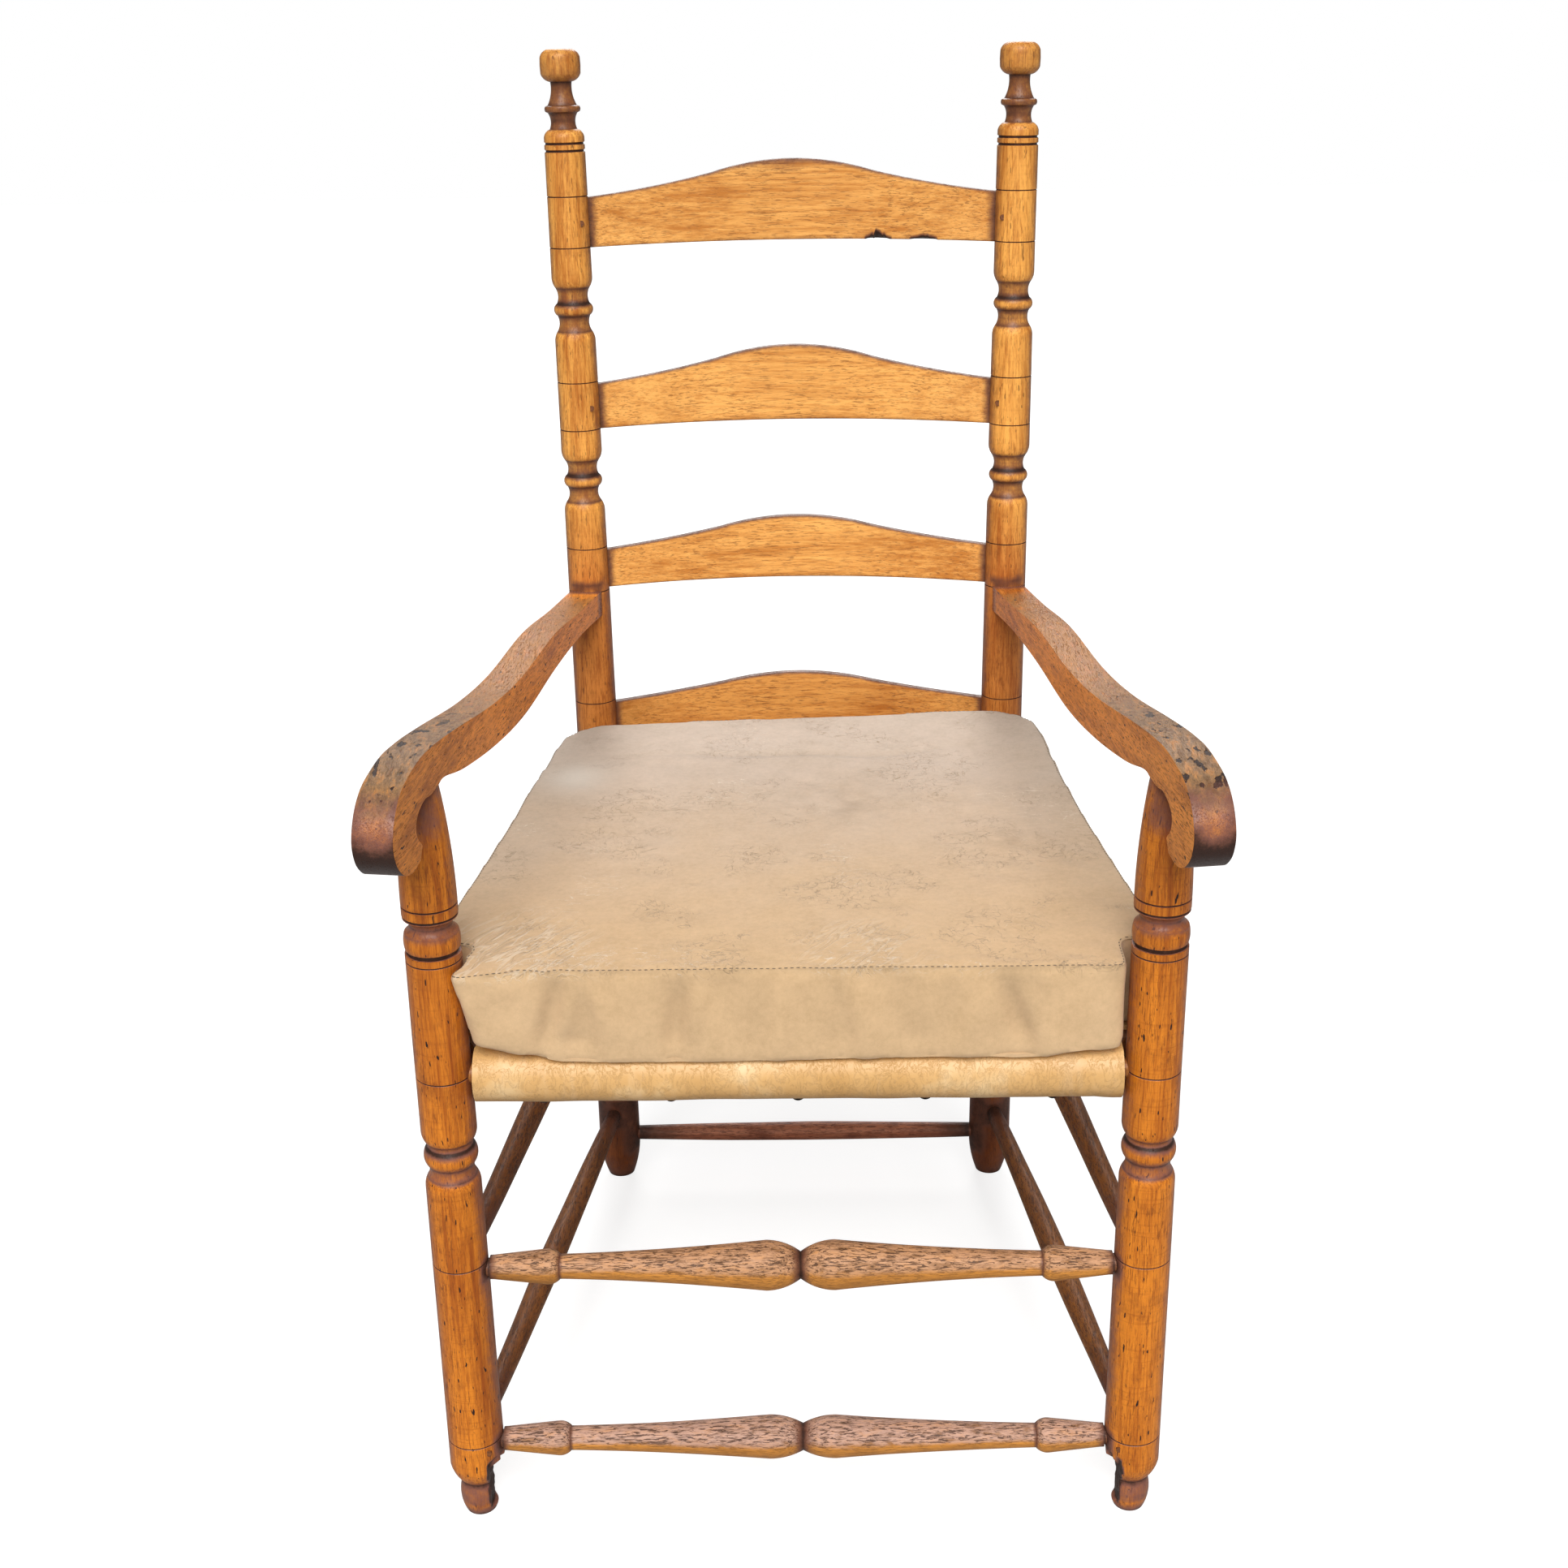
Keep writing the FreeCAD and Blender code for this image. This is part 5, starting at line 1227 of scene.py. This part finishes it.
class ARMCHAIR_OT_cushion(bpy.types.Operator):
    """Sew and stuff the loose cushion"""

    bl_idname = "armchair.cushion"
    bl_label = "Cushion"

    def execute(self, context):
        sizes, colours = context.scene.armchair_sizes, context.scene.armchair_colours
        low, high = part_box("seat_cushion")
        lower, upper = seam_lines(sizes, low.z + MM)
        shape = bmesh.new()
        base = shape.faces.new([shape.verts.new(place) for place in lower])
        for spot, place in zip(extruded(shape, [base]), upper):
            spot.co = place
        bmesh.ops.triangulate(shape, faces=[face for face in shape.faces if len(face.verts) > 4])
        face_out(shape)
        seams = [near_line(lower), near_line(upper)]
        shape = stuffed(shape, seams)
        hems = [spot for spot in shape.verts if spot.co.y > HEM_START
                and min(tree.find(spot.co)[2] for tree in seams) < HEM_REACH]
        for _ in range(HEM_ROUNDS):
            bmesh.ops.smooth_vert(shape, verts=hems, factor=0.5,
                                  use_axis_x=True, use_axis_y=True, use_axis_z=True)
        self.crumple(shape, sizes, seams, low.z, high.z)
        surface = BVHTree.FromBMesh(shape)
        cover = nubuck_finish(colours)
        cushion = add_piece("Seat_Cushion", shape, cover, "seat_cushion", "cushion")
        self.stitch(surface, upper)
        return {"FINISHED"}

    def crumple(self, shape, sizes, seams, low, high):
        """Drawn-in seams with puckers along the front, folds and creases with painted shade, and wear."""
        dirt, worn = (shape.verts.layers.float.new(name) for name in ("grime", "worn"))
        shape.normal_update()
        moved = []
        for spot in shape.verts:
            place, facing = spot.co, spot.normal
            front, top = max(0, -facing.y) ** 2, max(0, facing.z)
            depth = min(tree.find(place)[2] for tree in seams)
            sewn = hump(depth / SEAM_WIDTH)
            pucker = hump((depth - PUCKER_PLACE) / PUCKER_WIDTH) * ramped(-place.y, 0.2, 0.25)
            rise = pucker * 1.5 * MM * noise_at(place.x * 58, place.y * 58, place.z * 18) - 1.2 * MM * sewn
            drape, shade = self.front_folds(place, depth, low, high)
            waves, stain_and_crease_shade = self.top_creases(place)
            # Grime layer: dark seams, stains, and painted shade in the front folds and along the back crease
            spot[dirt] = 0.4 * sewn + front * shade + top * stain_and_crease_shade
            spot[worn] = top * patch(place.x, place.y, RUBBED_PATCH)
            moved.append(place + facing * (rise + front * drape + top * waves))
        self.settle(shape, moved, sizes, low, high)

    def front_folds(self, place, depth, low, high):
        """Rise and painted shade of the front band: soft waves, folds, and a pinch near its right end."""
        wave = noise_at(place.x * 23 + place.z * 5, 3.1, place.z * 4)
        tall = (high - place.z) / (high - low)
        slack = 0.7 + 0.8 * ramped(-place.x, -0.05, 0.2)
        rise = (slack * (9 * wave - abs(wave) * 4) * MM * (0.3 + 0.7 * tall)
                * (0.3 + 0.7 * ramped(depth, 0, 16 * MM)))
        fade = ramped(high - place.z, 10 * MM, 45 * MM) * (0.3 + 0.7 * ramped(place.z - low, 0, 30 * MM))
        fold_shade = 0
        for across, width, deep, lean in FOLDS:
            away = (place.x / MM - across - lean * (place.z - low) / MM) / width
            fold_shade = max(fold_shade, fade * deep / 5 * hump(away))
            rise += fade * deep * 0.85 * (0.7 * hump(away - 1.6) - hump(away)) * MM
        rise -= 3.2 * MM * patch(place.x, place.z - low, FRONT_PINCH)
        # Painted shade in the waves' troughs and inside the folds
        return rise, 0.25 * max(0, -wave) + 0.18 * fold_shade

    def top_creases(self, place):
        """Rise and darkening of the top: soft waves, a rucked corner, a crease along the back with painted
        shade, and two stains.
        """
        x, y = place.xy
        rise = MM * noise_at(x * 8, y * 8, 1.7) + 0.7 * MM * noise_at(x * 34 + y * 20, y * 40, 8.2)
        rise += patch(x, y, RUCKED_CORNER) * 2.2 * MM * noise_at(x * 90, y * 25, 2.2)
        crease = hump((y - BACK_CREASE - 0.02 * noise_at(x * 9, 0, 4)) / CREASE_WIDTH)
        crease *= 0.5 + 0.5 * math.cos(min(math.pi, abs(x) * 14))
        stain_and_crease_shade = 0.3 * patch(x, y, PALE_STAIN) + 0.4 * patch(x, y, DARK_STAIN)
        stain_and_crease_shade *= max(0, 0.5 + noise_at(x * 60, y * 90, 5.5))
        # Painted shade along the back crease
        return rise - 2.6 * MM * crease, stain_and_crease_shade + 0.2 * crease

    def settle(self, shape, moved, sizes, low, high):
        """Moves the cover, sagging over the front rail and clear of the leather and the posts."""
        roll = sizes.rail_radius + sizes.leather_thickness + 0.8 * MM
        front_reach, back_reach = sizes.front_radius_low + 0.8 * MM, sizes.back_radius_low + 1.5 * MM
        posts = [(front_spot(side, low), front_reach) for side in SIDES.values()]
        posts += [(back_spot(side, low + 30 * MM), back_reach) for side in SIDES.values()]
        for spot, place in zip(shape.verts, moved):
            floor, ahead = low, FRONT_AXIS.y - place.y
            if ahead > 0:
                drop = roll - math.sqrt(max(0, roll ** 2 - min(ahead, 0.95 * roll) ** 2))
                sag = 0.75 + 0.3 * noise_at(place.x * 5, 0, 9)
                floor = sizes.rail_height + roll - drop * 0.98
                place.z -= drop * min(1, sag) * max(0, 1 - (place.z - low) / (high - low) * 2.2) ** 2
            place.z = max(place.z, floor)
            for axis, reach in posts:
                away = Vector((place.x - axis.x, place.y - axis.y))
                if away.length < reach:
                    place.xy = axis.xy + away.normalized() * reach
            spot.co = place

    def stitch(self, surface, line):
        """Thread along the upper seam."""
        shape = bmesh.new()
        shape.verts.layers.float.new("grime")
        left = 0.0
        for place, following in zip(line, line[1:] + line[:1]):
            run = following - place
            while left < run.length:
                inset = Vector((-run.y, run.x, 0)).normalized() * STITCH_INSET
                spot, facing, _, _ = surface.find_nearest(place + run.normalized() * left + inset)
                along = (run - facing * run.dot(facing)).normalized()
                axes = Matrix((along, facing.cross(along), facing)).transposed().to_4x4()
                size = Matrix.Diagonal((STITCH_LENGTH / 2, 0.5 * MM, 0.45 * MM, 1))
                bmesh.ops.create_uvsphere(shape, u_segments=6, v_segments=4, radius=1,
                                          matrix=Matrix.Translation(spot) @ axes @ size)
                left += STITCH_PITCH
            left -= run.length
        thread = Finish("Stitch_Thread")
        twist = thread.noise(thread.place, 2200, detail=2)
        colour = thread.mix(twist, (0.12, 0.085, 0.055), (0.2, 0.15, 0.1))
        material = thread.surface(Base_Color=colour, Roughness=0.8)
        add_piece("Cushion_Stitches", shape, material, None, "cushion")


# Camera of the photograph: focal length in pixels of its 1932 pixel frame, place and aim
PHOTO_SIZE = 1932
FOCAL_PIXELS = 2590
CAMERA_PLACE = Vector((0.0166, -1.6788, 1.2543))
CAMERA_PITCH, CAMERA_YAW, CAMERA_ROLL = (math.radians(angle) for angle in (22.37, -0.94, -0.98))
SENSOR_WIDTH = 36
# Suns: strength, spread in degrees and aim
SUNS = {"Key": (3.7, 45, (0.03, 0.95, -1)), "Back_Fill": (1.2, 30, (0, -0.9, -0.5))}
FLOOR_SIZE, FLOOR_GLOW, FLOOR_GREY = 9, 0.75, (0.4, 0.4, 0.4, 1)
AMBIENT, WHITE = 0.17, (1, 1, 1, 1)


class ARMCHAIR_OT_stage(bpy.types.Operator):
    """Set the floor, the lights and the camera"""

    bl_idname = "armchair.stage"
    bl_label = "Stage"

    def execute(self, context):
        scene = context.scene
        scene.view_settings.view_transform = "Standard"
        self.floor(scene)
        self.lights(scene)
        self.camera(scene)
        return {"FINISHED"}

    def floor(self, scene):
        """White floor to the camera, and a grey one to the light."""
        shape = bmesh.new()
        bmesh.ops.create_grid(shape, x_segments=1, y_segments=1, size=FLOOR_SIZE)
        mesh = bpy.data.meshes.new("Floor")
        shape.to_mesh(mesh)
        shape.free()
        paint = Finish("Floor_Paint")
        seen = paint.node("ShaderNodeLightPath", output="Is Camera Ray")
        glow = paint.mix(seen, (0, 0, 0), (1, 1, 1))
        mesh.materials.append(paint.surface(Base_Color=FLOOR_GREY, Roughness=0.9,
                                            Emission_Color=glow, Emission_Strength=FLOOR_GLOW))
        floor = bpy.data.objects.new("Floor", mesh)
        scene.collection.objects.link(floor)

    def lights(self, scene):
        """White backdrop with a dim glow of its own, and the suns."""
        world = bpy.data.worlds.new("Studio")
        world.use_nodes = True
        studio = Nodes(world.node_tree)
        seen = studio.node("ShaderNodeLightPath", output="Is Camera Ray")
        backdrop = studio.node("ShaderNodeMixShader", None, {
            0: seen,
            1: studio.node("ShaderNodeBackground", None, {"Color": WHITE, "Strength": AMBIENT}),
            2: studio.node("ShaderNodeBackground", None, {"Color": WHITE, "Strength": 1.0})})
        studio.feed(world.node_tree.nodes["World Output"], {"Surface": backdrop})
        scene.world = world
        for name, (energy, spread, aim) in SUNS.items():
            lamp = bpy.data.lights.new(name, "SUN")
            lamp.energy = energy
            lamp.angle = math.radians(spread)
            light = bpy.data.objects.new(name, lamp)
            light.matrix_world = Vector(aim).to_track_quat("-Z", "Y").to_matrix().to_4x4()
            scene.collection.objects.link(light)

    def camera(self, scene):
        """Camera of the photograph."""
        forward = Vector((math.sin(CAMERA_YAW) * math.cos(CAMERA_PITCH),
                          math.cos(CAMERA_YAW) * math.cos(CAMERA_PITCH), -math.sin(CAMERA_PITCH)))
        level = Vector((math.cos(CAMERA_YAW), -math.sin(CAMERA_YAW), 0))
        upright = level.cross(forward)
        right = level * math.cos(CAMERA_ROLL) + upright * math.sin(CAMERA_ROLL)
        top = upright * math.cos(CAMERA_ROLL) - level * math.sin(CAMERA_ROLL)
        lens = bpy.data.cameras.new("Photo_Camera")
        lens.sensor_width = SENSOR_WIDTH
        lens.lens = FOCAL_PIXELS / PHOTO_SIZE * SENSOR_WIDTH
        camera = bpy.data.objects.new("Photo_Camera", lens)
        aim = Matrix((right, top, -forward)).transposed().to_4x4()
        camera.matrix_world = Matrix.Translation(CAMERA_PLACE) @ aim
        scene.collection.objects.link(camera)
        scene.camera = camera


STEPS = (ARMCHAIR_OT_posts, ARMCHAIR_OT_slats, ARMCHAIR_OT_arms, ARMCHAIR_OT_stretchers, ARMCHAIR_OT_rails,
         ARMCHAIR_OT_pegs, ARMCHAIR_OT_seat_leather, ARMCHAIR_OT_cushion, ARMCHAIR_OT_stage)


class ARMCHAIR_PT_sidebar(bpy.types.Panel):
    """Sizes, colours and steps of the armchair"""

    bl_idname = "ARMCHAIR_PT_sidebar"
    bl_label = "Armchair"
    bl_space_type = "VIEW_3D"
    bl_region_type = "UI"
    bl_category = "Armchair"

    def draw(self, context):
        for group in (context.scene.armchair_sizes, context.scene.armchair_colours):
            for name in group.__annotations__:
                self.layout.prop(group, name)
        for step in STEPS:
            self.layout.operator(step.bl_idname)


CLASSES = (ArmchairSizes, ArmchairColours, *STEPS, ARMCHAIR_PT_sidebar)


def register():
    for item in CLASSES:
        bpy.utils.register_class(item)
    bpy.types.Scene.armchair_sizes = PointerProperty(type=ArmchairSizes)
    bpy.types.Scene.armchair_colours = PointerProperty(type=ArmchairColours)


def unregister():
    del bpy.types.Scene.armchair_colours
    del bpy.types.Scene.armchair_sizes
    for item in reversed(CLASSES):
        bpy.utils.unregister_class(item)


def main():
    """Makes every piece in order."""
    register()
    for step in STEPS:
        area, name = step.bl_idname.split(".")
        getattr(getattr(bpy.ops, area), name)()


if __name__ == "__main__":
    main()
